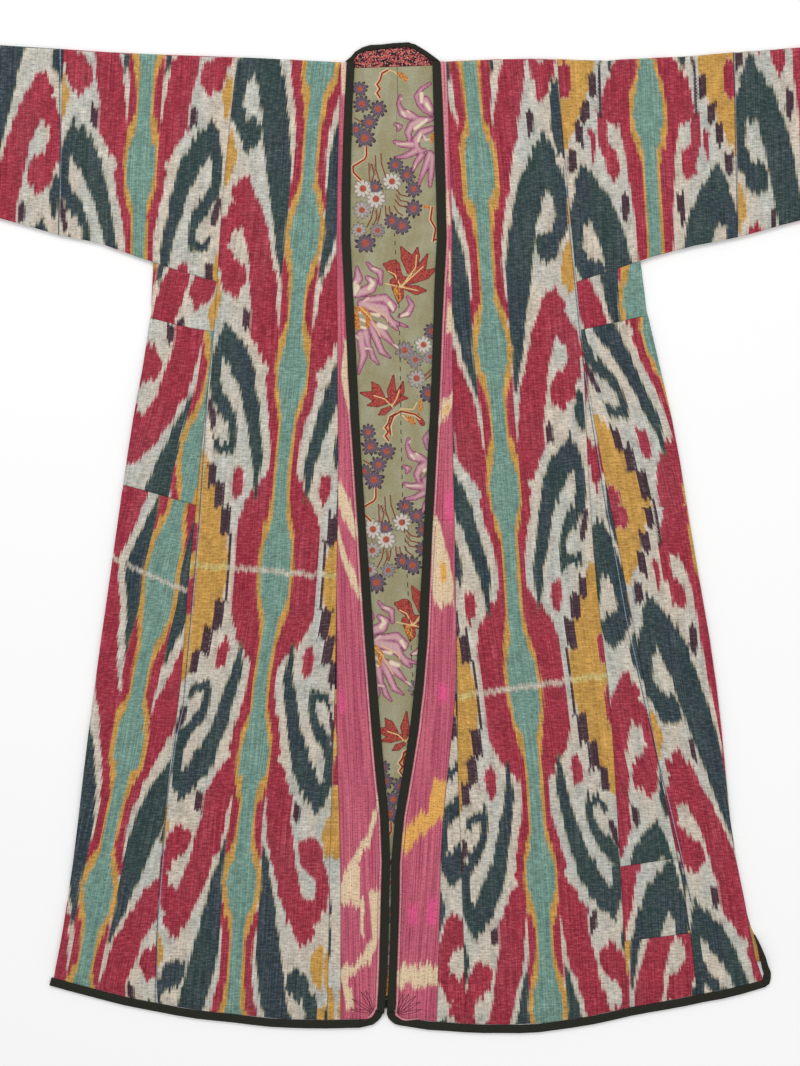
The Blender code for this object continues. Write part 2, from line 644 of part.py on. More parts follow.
def make_braid():
    """Braid sewn round the neck, down both fronts and along the hems."""
    for side, left, right, foot, top in (
            ("left", "braid_left", "edge_left", BRAID_FOOT_LEFT, BRAID_TOPS[0]),
            ("right", "edge_right", "braid_right", BRAID_FOOT_RIGHT, BRAID_TOPS[1])):
        plan = across(
            SEAMS[left], SEAMS[right], curve_through(foot), level(top),
            ROBE_FOOT, ROBE_TOP, ROW_BEND)
        flat_piece(
            "braid_front_" + side, plan, shares(1), BODY_ROWS, braid_mid, BRAID_WALL, BRAID_BLACK)
    whole = ((0.0, BRAID_WIDTH), (1.0, BRAID_WIDTH))
    path_piece("braid_hem_left", HEM_PATH_LEFT, whole, braid_mid, BRAID_WALL, BRAID_BLACK)
    path_piece("braid_hem_right", HEM_PATH_RIGHT, VENT_WIDTHS, braid_mid, BRAID_WALL, BRAID_BLACK)
    back_hem = [(x, HEM_LINE(x) + BACK_SHORTER) for x in range(*HEM_RUN_BACK, HEM_STEP)]
    path_piece("braid_hem_back", back_hem, whole, back_mid, WALL, BRAID_BLACK)
    neck_mid = (WALL + GAP + LINING_WALL) / 2

    def rib(i, j):
        outer_x, outer_y, inner_x, inner_y = (line((NECK_STEPS - i) / 2) for line in NECK_LINES)
        x = outer_x + (inner_x - outer_x) * j
        y = outer_y + (inner_y - outer_y) * j
        return x, y, neck_mid

    add_piece("braid_neck", NECK_STEPS, 1, rib, 2 * neck_mid, BRAID_BLACK)


make_pieces()
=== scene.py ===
"""Looks for the uzbek chapan robe: its cloths, print, braid and stitching, on the form of the solids.

Lengths in tables are millimetres unless a comment says otherwise. Each section is one piece, or a
few pieces made alike, in the order in which they are sewn together.
"""
import math

import bmesh
import bpy
import numpy as np
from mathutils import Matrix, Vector, bvhtree, geometry, kdtree


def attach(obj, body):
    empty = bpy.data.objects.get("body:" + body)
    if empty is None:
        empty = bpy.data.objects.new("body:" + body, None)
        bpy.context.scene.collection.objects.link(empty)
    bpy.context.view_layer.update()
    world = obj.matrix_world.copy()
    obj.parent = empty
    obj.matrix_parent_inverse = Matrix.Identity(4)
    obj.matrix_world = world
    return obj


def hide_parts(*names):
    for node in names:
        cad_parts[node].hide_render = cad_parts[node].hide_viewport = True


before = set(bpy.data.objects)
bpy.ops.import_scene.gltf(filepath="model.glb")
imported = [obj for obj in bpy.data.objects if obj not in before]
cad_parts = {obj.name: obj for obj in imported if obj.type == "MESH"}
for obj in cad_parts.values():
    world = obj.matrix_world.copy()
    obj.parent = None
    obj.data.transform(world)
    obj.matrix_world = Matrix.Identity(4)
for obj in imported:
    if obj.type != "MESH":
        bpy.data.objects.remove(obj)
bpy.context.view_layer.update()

# Body lengths. Two loom widths of silk and cotton ikat, thinly wadded and quilted to their lining,
# run from the front hem over the shoulder to the back hem. They are sewn to each other down the
# centre of the back, and along their long edges to the sleeves, gores and facing bands.
MM = 0.001
BUNDLE = 1.25       # the pattern tables are in bundles of warp threads, each this wide
LOOM_HALF = 88.0    # bundles from the middle of a loom width to its selvedge
FAR = 99.0          # farther off than anything that is looked for
WELD = 0.01         # corners this close are one
STEEP = 0.6         # a face whose normal rises more than this lies flat enough to be remade
SAME_LEVEL = 1.2    # sheets this close in height belong to the same face of the cloth
ON_FLOOR = 0.2      # a piece that reaches lower than this lies on the floor
FRONT = 2.5         # sizes of the triangles on the front and behind
BEHIND = 5.0
ROW = 0.866         # height of a row of even triangles
RIM_ROWS = (1.1, 2.6)                       # rows of vertices along a piece's edge
CREASE_ROWS = (-2.2, -1.1, 0, 1.1, 2.2)     # rows across a crease, in half widths
CREASE_STEP = 2                             # from each row across a crease to the next
PROBE = 0.3                                 # a step off the edge, to see which side the cloth is on
ROW_ROOM, RIM_ROOM, ROOM = 0.6, 0.5, 0.55   # least room between vertices, as shares of a spacing
SHARP = math.radians(50)                    # an edge that turns more than this isn't smoothed
PUFF_LENGTH = 1600      # the puffing's waves are counted over this length
PUFF_EDGE = 12          # the puffing dies away this near to an edge
SEAM = (0.8, 2.6)       # how deep a quilted seam dips, and how far its dip reaches
STEP_UP, STEP_ACROSS, STEEPEST = 2.5, 1.2, 1.2      # for how the pattern changes both ways

# The pattern is the same on both sides of a stem. s is the distance from the stem's middle and d
# the distance along the warp from a line where the tied pattern turns round.
STEM = (
    (0, 14.8, 18), (20, 14.3, 17.5), (30, 12.8, 16.6), (43, 9, 14.6), (54, 6.8, 12.4), (64, 5.8, 10.3),
    (78, 5.3, 9), (110, 5, 8.3), (145, 5.5, 8.2), (160, 8, 12.5), (180, 12.5, 16), (198, 14.6, 17.5),
    (215, 12.5, 17), (230, 8.2, 15.5), (243, 7, 12), (252, 7, 9), (285, 7.2, 10), (298, 7.5, 13),
    (310, 9.5, 17), (322, 13.5, 18.5), (338, 15, 20), (353, 13.3, 18.5), (370, 8.6, 15.5),
    (386, 5.2, 10), (400, 5.2, 7.5), (440, 5.2, 8.5))
STEM_A = STEM + (
    (470, 5.6, 12), (482, 8, 16.5), (495, 13.5, 19), (518, 14, 19), (540, 12, 17.5), (555, 7.5, 13),
    (567, 6.2, 9.5), (615, 6.2, 10), (635, 8, 14), (650, 12, 17.5), (675, 14.5, 18.5), (701, 15, 19))
STEM_B = STEM + (
    (530, 5.4, 8.5), (541, 5.4, 8.8), (553, 6, 12), (565, 9, 17), (578, 13.5, 18.5), (590, 15, 19.5),
    (612, 13, 17.5), (625, 10.5, 14.5), (640, 6, 10), (660, 5.8, 9.5))
# How far out from the stem the red beside it reaches.
RED_EDGE = (
    (0, 41.5), (33, 42), (45, 41), (58, 38), (75, 30), (84, 23.5), (93, 16.5), (100, 14), (110, 13.6),
    (135, 15), (162, 21.7), (190, 26), (214, 20), (230, 17), (248, 16), (270, 16.5), (294, 18),
    (306, 18), (325, 16), (338, 14), (350, 15), (370, 19.5), (387, 17.5), (400, 15.5), (422, 15),
    (440, 17))
RED_EDGE_A = RED_EDGE + (
    (456, 19.5), (475, 23), (491, 27.6), (509, 31), (530, 36), (544, 20), (555, 18), (564, 17),
    (585, 18), (623, 21.5), (701, 23))
RED_EDGE_B = RED_EDGE + (
    (480, 19), (510, 21), (541, 24), (560, 26), (575, 29.5), (583, 36), (588, 46), (600, 46.5),
    (615, 43.5), (628, 39), (640, 33), (650, 26), (660, 21))
# Where the yellow cloth beside the selvedge begins.
YELLOW_EDGE = ((0, 48.5), (26, 50), (55, 57), (80, 65), (100, 73), (114, 82), (122, 110))
YELLOW_EDGE_B = ((543, 110), (552, 86), (566, 78), (584, 70), (603, 62), (631, 53), (660, 50))
# Strokes: each is a run of points (s, d, half width).
RED = (
    ((22, 205, 5), (24.5, 213, 8.5), (31, 238, 14), (32.5, 260, 12.5), (35, 277, 13.5),
     (37.5, 293, 13.5), (42, 310, 11.5), (49, 335, 12), (57, 355, 13), (64, 371, 12), (64, 383, 6)),
    ((66, 354, 13), (80, 336, 7), (81.5, 318, 6.5), (76, 303, 9), (67, 292, 12), (66, 283, 12),
     (65.5, 272, 4.5)),
    ((43.5, 75, 4), (43.5, 84, 6), (43.5, 96, 4.5)))
OVAL_A = (((86, 16, 6), (86, 38, 6.5)),)
OVAL_B = (((84, 614, 7), (84, 638, 7.5)),)
RED_A = RED + (
    ((27, 515, 4), (29, 544, 12), (31, 562, 12.5), (37, 585, 12.5), (45, 623, 12), (52, 660, 13),
     (60, 701, 14)),
    ((86, 640, 8), (80, 618, 7), (73, 598, 9), (68, 582, 5), (67, 574, 1.5)),
    ((62, 625, 3), (66, 602, 6)))
RED_B = RED + (
    ((46, 592, 4.5), (46.5, 572, 4.6), (45.5, 560, 5.2), (39, 549, 6.5), (37.5, 538, 7),
     (36.5, 530, 3.5)),
    ((57, 572, 3), (56.5, 558, 2), (57, 545, 1)))
NAVY = (
    ((25.5, 76, 0.8), (26.5, 110, 5.3), (32, 136, 6), (37.5, 162, 7.3), (43, 179, 8.5),
     (51, 200, 11.5), (59, 215, 12), (66, 228, 8), (69.5, 240, 2)),
    ((66, 226, 10), (76.5, 205, 5), (76.5, 185, 4.5), (73, 170, 6), (65.5, 160, 7), (58.5, 150, 5.5),
     (53.5, 137, 3.5), (53, 122, 3.6), (52.5, 112, 2)),
    ((54, 122, 3.5), (60, 116, 4), (66, 118, 3.5), (69, 125, 2.5)),
    ((20, 294, 0.8), (25.5, 336, 5.3), (28, 370, 9), (31.5, 405, 12.5), (36.5, 439, 13.5),
     (40, 456, 13), (48, 485, 13.5), (57, 504, 15), (65, 520, 12), (67, 538, 4)),
    ((68, 504, 13), (79, 482, 7.5), (79.5, 456, 6.5), (73, 443, 8), (63, 434, 12), (62, 428, 11),
     (61, 417, 3)))
NAVY_A = NAVY + (
    ((21.5, 614, 0.8), (24, 650, 5), (29, 701, 9)),
    ((84, 590, 3), (82, 575, 5), (81, 545, 6), (83, 522, 3)))
NAVY_B = NAVY + (((36, 640, 1), (36, 656, 4)),)
NAVY_EDGE = (((77, 200, 6), (80, 165, 6.5), (82, 140, 7)),)
SMALL_HOOK = 4      # the brown stroke that F leaves out
BROWN = (
    ((70, 84, 4.5), (70, 98, 4.5)), ((62.5, 62, 4.5), (62.5, 80, 4.5)),
    ((54.5, 36, 4.5), (54, 56, 4.5)), ((50, 240, 3), (50, 254, 3)),
    ((79, 164, 2.5), (76, 150, 3.5), (74, 138, 2.5)),
    ((47.3, 0, 1.2), (47.5, 33, 1.2)), ((49.5, 33, 1), (49.8, 62, 1)),
    ((57, 58, 1), (57.5, 84, 1)))
BROWN_A = BROWN + (((54, 546, 3.4), (54.5, 564, 3.8)),)
BROWN_B = BROWN + (
    ((55, 612, 4), (55, 628, 4)), ((63, 588, 4.5), (63, 600, 4.5)), ((70, 565, 4), (70, 580, 4)),
    ((78, 538, 4.5), (78, 550, 4.5)), ((28.5, 486, 2.5), (28.5, 495, 4), (27.5, 511, 3)),
    ((46, 384, 3), (46, 400, 3)), ((48.5, 592, 1.2), (48, 630, 1.2), (44, 660, 1.2)))
DASH = (((83, 383, 3), (81, 397, 6.5), (80.5, 407, 7), (82, 420, 5), (83, 428, 3)),)
YELLOW = (
    ((83, 283, 2.5), (81, 266, 5), (82, 248, 3)), ((87, 450, 3), (87, 470, 3)))
TURN_A = 701.0      # the next line where the pattern turns round
TURN_B = 660.0
JOIN_B = 629.0      # in cloth C the pattern goes on from here as beside the first line
JOIN_OFFSET = 25.0

# Where the stem runs on each piece, as height and x, with the height of the turning line in the
# stem, the line's slope, the pattern's length above and below it, and which pattern it is. E and
# F are A and B with a mark beside the selvedge dyed dark, and in D the dash there is dark too.
LAG = 0.2           # below its turning line a body length's pattern slips down away from the stem,
LAG_RUN = 100       # and does so more and more over this length
STEM_COLUMNS = ("stem", "line", "slope", "above", "below", "cloth")
BODY_STEMS = {
    "body_left": (
        ((590, -98), (506, -109), (377, -118), (291, -128), (202, -134), (73, -147), (-34, -154),
         (-100, -159), (-185, -173), (-272, -181), (-357, -192), (-443, -198), (-563, -206),
         (-605, -209)), -48, -0.086, 1, 0.915, "A"),
    "body_right": (
        ((590, 86), (456, 99), (357, 106), (255, 113), (-33, 138), (-109, 143), (-187, 154),
         (-300, 167), (-433, 176), (-610, 186)), -192, 0.14, 1, 0.94, "E")}
BACK_STEMS = {
    "body_left": ((590, -104), (292, -114), (-83, -138), (-605, -150)),
    "body_right": ((590, 96), (292, 111), (-83, 125), (-605, 139))}
SHOULDER = 594.0

# Seams where the loom's blue and navy selvedge threads show, in bundle widths.
SELVEDGES = (
    ((-340, 490), (-339, 384), (-341, 290)),
    ((-192, 140), (-200, 14), (-207, -66), (-216, -170), (-224, -204), (-231, -256), (-236, -310),
     (-240, -360), (-243, -410), (-244.5, -470)),
    ((184, 158), (204, 34), (225, -86), (255, -216), (290, -366)),
    ((333, 480), (335, 384), (337, 290)),
    ((163, 364), (172, 274), (180, 194)))
# Creases pressed into the cloth: points, depth and half width of the trough.
CREASES = (
    (((-250, -308), (-205, -311), (-170, -309), (-140, -313), (-88, -314)), 0.9, 2.2),
    (((247, 377), (264, 378), (280, 375), (294, 371), (309, 366), (318, 358)), 1.2, 2.4),
    (((-330, 352), (-300, 366), (-276, 371), (-262, 384)), 0.8, 2.6),
    (((-95, 372), (-120, 352), (-132, 322)), 0.7, 3.0),
    (((330, 60), (338, 10), (352, -40)), 0.7, 3.0),
    (((404, -360), (390, -420), (398, -470)), 0.8, 3.2),
    (((-418, -470), (-400, -500), (-396, -540)), 0.7, 3.0))
PUFF_WAVES = (
    (0.31, 61, 17, 0.4), (0.27, -23, 74, 1.9), (0.22, 97, -41, 3.1), (0.19, 38, 121, 5.2),
    (0.14, -143, 52, 0.9), (0.11, 171, 87, 2.6))     # height, waves per 1.6 m in x and y, start


def linear(red, green, blue):
    """A colour as light, from its 0 to 255 screen values."""
    return tuple(((c / 255 + 0.055) / 1.055) ** 2.4 if c > 10 else c / 3295 for c in (red, green, blue))


def beside(x, y, start, end):
    """Where a place lies beside a run, as a share of its length, and how far it is from there."""
    (ax, ay), (bx, by) = start, end
    run_x, run_y = bx - ax, by - ay
    t = np.clip(((x - ax) * run_x + (y - ay) * run_y) / (run_x ** 2 + run_y ** 2), 0, 1)
    return t, np.hypot(x - ax - t * run_x, y - ay - t * run_y)


def stroke_field(s, d, strokes):
    """How far a place is outside the nearest of some tapering strokes."""
    best = np.full(s.shape, FAR)
    for points in strokes:
        for (*start, r0), (*end, r1) in zip(points, points[1:]):
            t, gap = beside(s, d, start, end)
            best = np.minimum(best, gap - r0 - t * (r1 - r0))
    return best


def along(table, d, column=1):
    """A column of a table, read at each place along the warp."""
    return np.interp(d, [row[0] for row in table], [row[column] for row in table])


def pattern_fields(s, d, cloth):
    """Fields of navy, red, yellow, brown, the stem's yellow and its teal: below zero inside."""
    if cloth == "C":
        near = pattern_fields(s, JOIN_OFFSET + np.maximum(d - JOIN_B, 0), "A")
        far = pattern_fields(s, np.minimum(d, JOIN_B), "F")
        return [np.where(d > JOIN_B, a, b) for a, b in zip(near, far)]
    wide = cloth in "ADE"
    stem, red_edge, reds, oval, dark, browns = (
        (STEM_A, RED_EDGE_A, RED_A, OVAL_A, NAVY_A, BROWN_A) if wide else
        (STEM_B, RED_EDGE_B, RED_B, OVAL_B, NAVY_B, BROWN_B))
    light = YELLOW + DASH
    if cloth in "DEF":
        dark, light = dark + YELLOW[:1], YELLOW[1:] + DASH
    if cloth == "D":
        dark, light = dark + DASH, YELLOW[1:]
    if cloth == "F":
        dark, browns = dark + NAVY_EDGE, browns[:SMALL_HOOK] + browns[SMALL_HOOK + 1:]
    red = np.minimum(s - along(red_edge, d), stroke_field(s, d, reds))
    edge = along(YELLOW_EDGE, d)
    if not wide:
        edge = np.minimum(edge, along(YELLOW_EDGE_B, d))
    oval = stroke_field(s, d, oval)
    return [
        stroke_field(s, d, dark), np.minimum(red, oval),
        np.maximum(np.minimum(edge - s, stroke_field(s, d, light)), -oval),
        stroke_field(s, d, browns), s - along(stem, d, 2), s - along(stem, d)]


def nearest_line(x, y, lines):
    """Offset from the nearest of some thin lines, below zero on one side, and the distance."""
    gap = np.full(x.shape, FAR)
    offset = gap.copy()
    for points in lines:
        for (ax, ay), (bx, by) in zip(points, points[1:]):
            away = beside(x, y, (ax, ay), (bx, by))[1]
            across = ((x - ax) * (by - ay) - (y - ay) * (bx - ax)) / math.dist((ax, ay), (bx, by))
            offset = np.where(away < gap, across, offset)
            gap = np.minimum(gap, away)
    return offset, gap


def store(mesh, **layers):
    """Stores three values a vertex under each name."""
    for name, values in layers.items():
        layer = mesh.attributes.new(name, "FLOAT_VECTOR", "POINT")
        layer.data.foreach_set("vector", np.array(values, dtype=np.float32).T.ravel())


def places(mesh):
    """Every vertex's x and y in bundle widths."""
    co = np.empty(len(mesh.vertices) * 3)
    mesh.vertices.foreach_get("co", co)
    return co.reshape(-1, 3).T[:2] / MM / BUNDLE


def slopes(fields, *step):
    """How some fields change over a small step, held to a moderate slope."""
    change = fields(*step) - fields(*(-v for v in step))
    return np.clip(change / 2 / math.hypot(*step), -STEEPEST, STEEPEST)


def run_of(stem, y):
    """A stem's x at each height."""
    return np.interp(y, *np.transpose(stem[::-1]))


def paint_pattern(mesh, spec, back_stem=None, fold=None):
    """Stores each vertex's place on the loom, its pattern fields and how they change both ways."""
    x, y = places(mesh) * BUNDLE
    row = dict(zip(STEM_COLUMNS, spec))
    middle = run_of(row["stem"], y)
    warp = y
    if fold:
        facing = np.empty(len(mesh.vertices) * 3, dtype=np.float32)
        mesh.vertex_normals.foreach_get("vector", facing)
        under = facing[2::3] < 0
        if back_stem:
            middle = np.where(under, run_of(back_stem, y), middle)
        warp = np.where(under, 2 * fold - y, y)
    side = (x - middle) / BUNDLE
    length = (warp - row["line"] - row["slope"] * (x - middle)) / BUNDLE
    if back_stem:
        length = length + LAG * np.minimum(np.abs(side), LOOM_HALF) * np.clip(-length / LAG_RUN, 0, 1)
    length = length / np.where(length > 0, row["above"], row["below"])
    turn = {"B": TURN_B, "C": None}.get(row["cloth"], TURN_A)

    def fields(step_side, step_length):
        s = LOOM_HALF - np.abs(LOOM_HALF - np.abs(side + step_side))
        d = np.abs(length + step_length)
        if turn:
            d = np.abs((d + turn) % (2 * turn) - turn)
        return np.array(pattern_fields(s, d, row["cloth"]))

    here = fields(0, 0)
    up = slopes(fields, 0, STEP_UP)
    across = slopes(fields, STEP_ACROSS, 0)
    away = np.where(np.abs(length) < TURN_A / 2, length, np.abs(length) - TURN_A)
    away = away if row["cloth"] != "C" else np.abs(length)
    store(
        mesh, loom=(side, warp / BUNDLE, away), cloth_a=here[:3], cloth_b=here[3:], up_a=up[:3],
        up_b=up[3:], across_a=across[:3], across_b=across[3:],
        selvedge=(*nearest_line(x / BUNDLE, y / BUNDLE, SELVEDGES), away))


def outer_sheet(grid, way):
    """The faces of the highest sheet that faces up (way 1), or of the lowest that faces down (-1)."""
    left = {f for f in grid.faces if f.normal.z * way > STEEP}
    sheets = []
    while left:
        waiting = [left.pop()]
        sheet = []
        while waiting:
            face = waiting.pop()
            sheet.append(face)
            near = {f for e in face.edges for f in e.link_faces} & left
            left -= near
            waiting += near
        area = sum(f.calc_area() for f in sheet)
        if area > MM ** 2:
            level = sum(f.calc_center_median().z * f.calc_area() for f in sheet) / area
            sheets.append((way * level / MM, sheet))
    best = max(level for level, _ in sheets)
    return [f for level, sheet in sheets if level > best - SAME_LEVEL for f in sheet]


def remake(grid, way, spacing):
    """Remakes a sheet in small even triangles. Returns its vertices and their gaps from its rim."""
    faces = outer_sheet(grid, way)
    sheet = set(faces)
    corners = list({v for f in faces for v in f.verts})
    index = {v: i for i, v in enumerate(corners)}
    surface = bvhtree.BVHTree.FromPolygons(
        [v.co / MM for v in corners], [[index[v] for v in f.verts] for f in faces])

    def land(x, y):
        return surface.ray_cast(Vector((x, y, FAR * way)), Vector((0, 0, -way)))[0]

    def find_rim():
        return [e for e in grid.edges if sum(f in sheet for f in e.link_faces) == 1]

    walls = {}
    for edge in find_rim():
        wall = next(f for f in edge.link_faces if f not in sheet)
        walls[wall] = next(v for v in wall.verts if v not in edge.verts)
        start, end = edge.verts
        for part in range(int(edge.calc_length() / MM / spacing), 0, -1):
            start = bmesh.utils.edge_split(edge, start, 1 / (part + 1))[1]
            edge = next(e for e in start.link_edges if end in e.verts)
    for wall, apex in walls.items():
        ring = list(wall.verts)
        ring = ring[ring.index(apex):] + ring[:ring.index(apex)]
        if len(ring) > 3:
            bmesh.ops.delete(grid, geom=[wall], context="FACES_ONLY")
            for a, b in zip(ring[1:], ring[2:]):
                grid.faces.new((apex, a, b))
    rim = find_rim()
    rim_verts = list({v for e in rim for v in e.verts})
    index = {v: i for i, v in enumerate(rim_verts)}
    following = {}
    for edge in rim:
        loop = next(k for k in edge.link_loops if k.face in sheet)
        following[loop.vert] = loop.link_loop_next.vert
    outlines = []
    while following:
        first = next(iter(following))
        outline = [first]
        while following.get(outline[-1], first) is not first:
            outline.append(following.pop(outline[-1]))
        following.pop(outline[-1], None)
        outlines.append([index[v] for v in outline][::way])
    tree = kdtree.KDTree(3 * len(rim))
    rows = []
    for i, edge in enumerate(rim):
        a, b = (Vector(v.co.xy / MM) for v in edge.verts)
        for k in range(3):
            tree.insert(a.lerp(b, (k + 0.5) / 3).to_3d(), 3 * i + k)
        out = (b - a).orthogonal().normalized()
        middle = (a + b) / 2
        if not land(*(middle + PROBE * out)):
            out = -out
        rows += [middle + step * out for step in RIM_ROWS]
    tree.balance()
    if way > 0:
        for points, _, half_width in CREASES:
            for (ax, ay), (bx, by) in zip(points, points[1:]):
                run = Vector((bx - ax, by - ay))
                across = run.orthogonal().normalized() * half_width
                for k in range(int(run.length / CREASE_STEP)):
                    place = Vector((ax, ay)) + run * (k * CREASE_STEP / run.length)
                    rows += [place + across * step for step in CREASE_ROWS]
    lattice = []
    low = [min(v.co[i] for v in rim_verts) / MM for i in (0, 1)]
    high = [max(v.co[i] for v in rim_verts) / MM for i in (0, 1)]
    line = 0
    while low[1] + line * spacing * ROW < high[1]:
        y = low[1] + line * spacing * ROW
        count = int((high[0] - low[0]) / spacing) + 2
        lattice += [Vector((low[0] + (k + line % 2 / 2) * spacing, y)) for k in range(count)]
        line += 1
    rows = [p for p in rows if tree.find(p.to_3d())[2] > RIM_ROWS[0] * ROW_ROOM and land(*p)]
    kept = kdtree.KDTree(len(rows))
    for i, p in enumerate(rows):
        kept.insert(p.to_3d(), i)
    kept.balance()
    for p in lattice:
        q = p.to_3d()
        clear = not rows or kept.find(q)[2] > ROOM * spacing
        if clear and tree.find(q)[2] > RIM_ROOM * spacing and land(*p):
            rows.append(p)
    flat = [Vector(v.co.xy / MM) for v in rim_verts] + rows
    spots, _, cells, origin, _, within = geometry.delaunay_2d_cdt(flat, [], outlines, 1, 1e-5, True)
    bmesh.ops.delete(grid, geom=faces, context="FACES")
    made = []
    for spot, source in zip(spots, origin):
        old = [i for i in source if i < len(rim_verts)]
        made.append(rim_verts[old[0]] if old else grid.verts.new(land(*spot) * MM))
    for cell, owners in zip(cells, within):
        if owners:
            grid.faces.new([made[i] for i in (cell if way > 0 else reversed(cell))])
    return made, np.array([tree.find(Vector((v.co.x, v.co.y, 0)) / MM)[2] for v in made])


def fine_copy(name, front, behind):
    """The solid with small even triangles on its upper face, and below where it lies on the floor."""
    grid = bmesh.new()
    grid.from_mesh(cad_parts[name].data)
    bmesh.ops.remove_doubles(grid, verts=grid.verts, dist=WELD * MM)
    grid.normal_update()
    upper, gap = remake(grid, 1, front)
    if min(v.co.z for v in grid.verts) < ON_FLOOR * MM and behind:
        grid.normal_update()
        remake(grid, -1, behind)
    bmesh.ops.triangulate(grid, faces=[f for f in grid.faces if len(f.verts) > 3])
    grid.normal_update()
    return grid, upper, gap


def trough(x, y, points, depth, half_width):
    """Depth of a crease at each place: a soft trough that fades and wavers along its run."""
    total = sum(math.dist(a, b) for a, b in zip(points, points[1:]))
    best = np.full(x.shape, FAR)
    at = np.zeros(x.shape)
    gone = 0.0
    for start, end in zip(points, points[1:]):
        t, gap = beside(x, y, start, end)
        at = np.where(gap < best, gone + t * math.dist(start, end), at)
        best = np.minimum(best, gap)
        gone += math.dist(start, end)
    waver = 0.8 + 0.2 * np.sin(at / 9)      # the fold is deeper in some places than in others
    fade = np.sin(np.clip(at / total, 0.02, 0.98) * math.pi) ** 0.5 * waver
    lips = 0.45 * np.exp(-((best / half_width - 2.1) / 0.9) ** 2)       # cloth pushed up beside it
    return depth * fade * (np.exp(-(best / half_width) ** 2) - lips)


def relax_form(upper, gap, edge_dip, edge_reach):
    """Softens the upper face: rounded seams, creases and slight unevenness."""
    x = np.array([v.co.x for v in upper]) / MM
    y = np.array([v.co.y for v in upper]) / MM
    inner = np.clip(gap / edge_reach, 0, 1)
    roll = 0.2 * edge_dip * np.exp(-((gap - 1.9 * edge_reach) / edge_reach) ** 2)
    lift = -edge_dip * (1 - inner) ** 2 + roll
    for points, depth, half_width in CREASES:
        lift = lift - trough(x, y, points, depth, half_width) * inner
    for height, wave_x, wave_y, start in PUFF_WAVES:
        turn = (x * wave_x + y * wave_y) * math.tau / PUFF_LENGTH + start
        lift = lift + 0.5 * height * np.sin(turn) * np.clip(gap / PUFF_EDGE, 0, 1)
    for v, rise in zip(upper, lift):
        v.co.z += rise * MM


def add_shell(name, grid, material):
    """Puts a shaped cloth in its solid's place."""
    mesh = bpy.data.meshes.new(name)
    grid.to_mesh(mesh)
    grid.free()
    mesh.shade_smooth()
    mesh.materials.clear()
    mesh.materials.append(material)
    shell = bpy.data.objects.new(name + "_cloth", mesh)
    bpy.context.scene.collection.objects.link(shell)
    mesh.set_sharp_from_angle(angle=SHARP)
    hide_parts(name)
    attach(shell, "root")
    return mesh


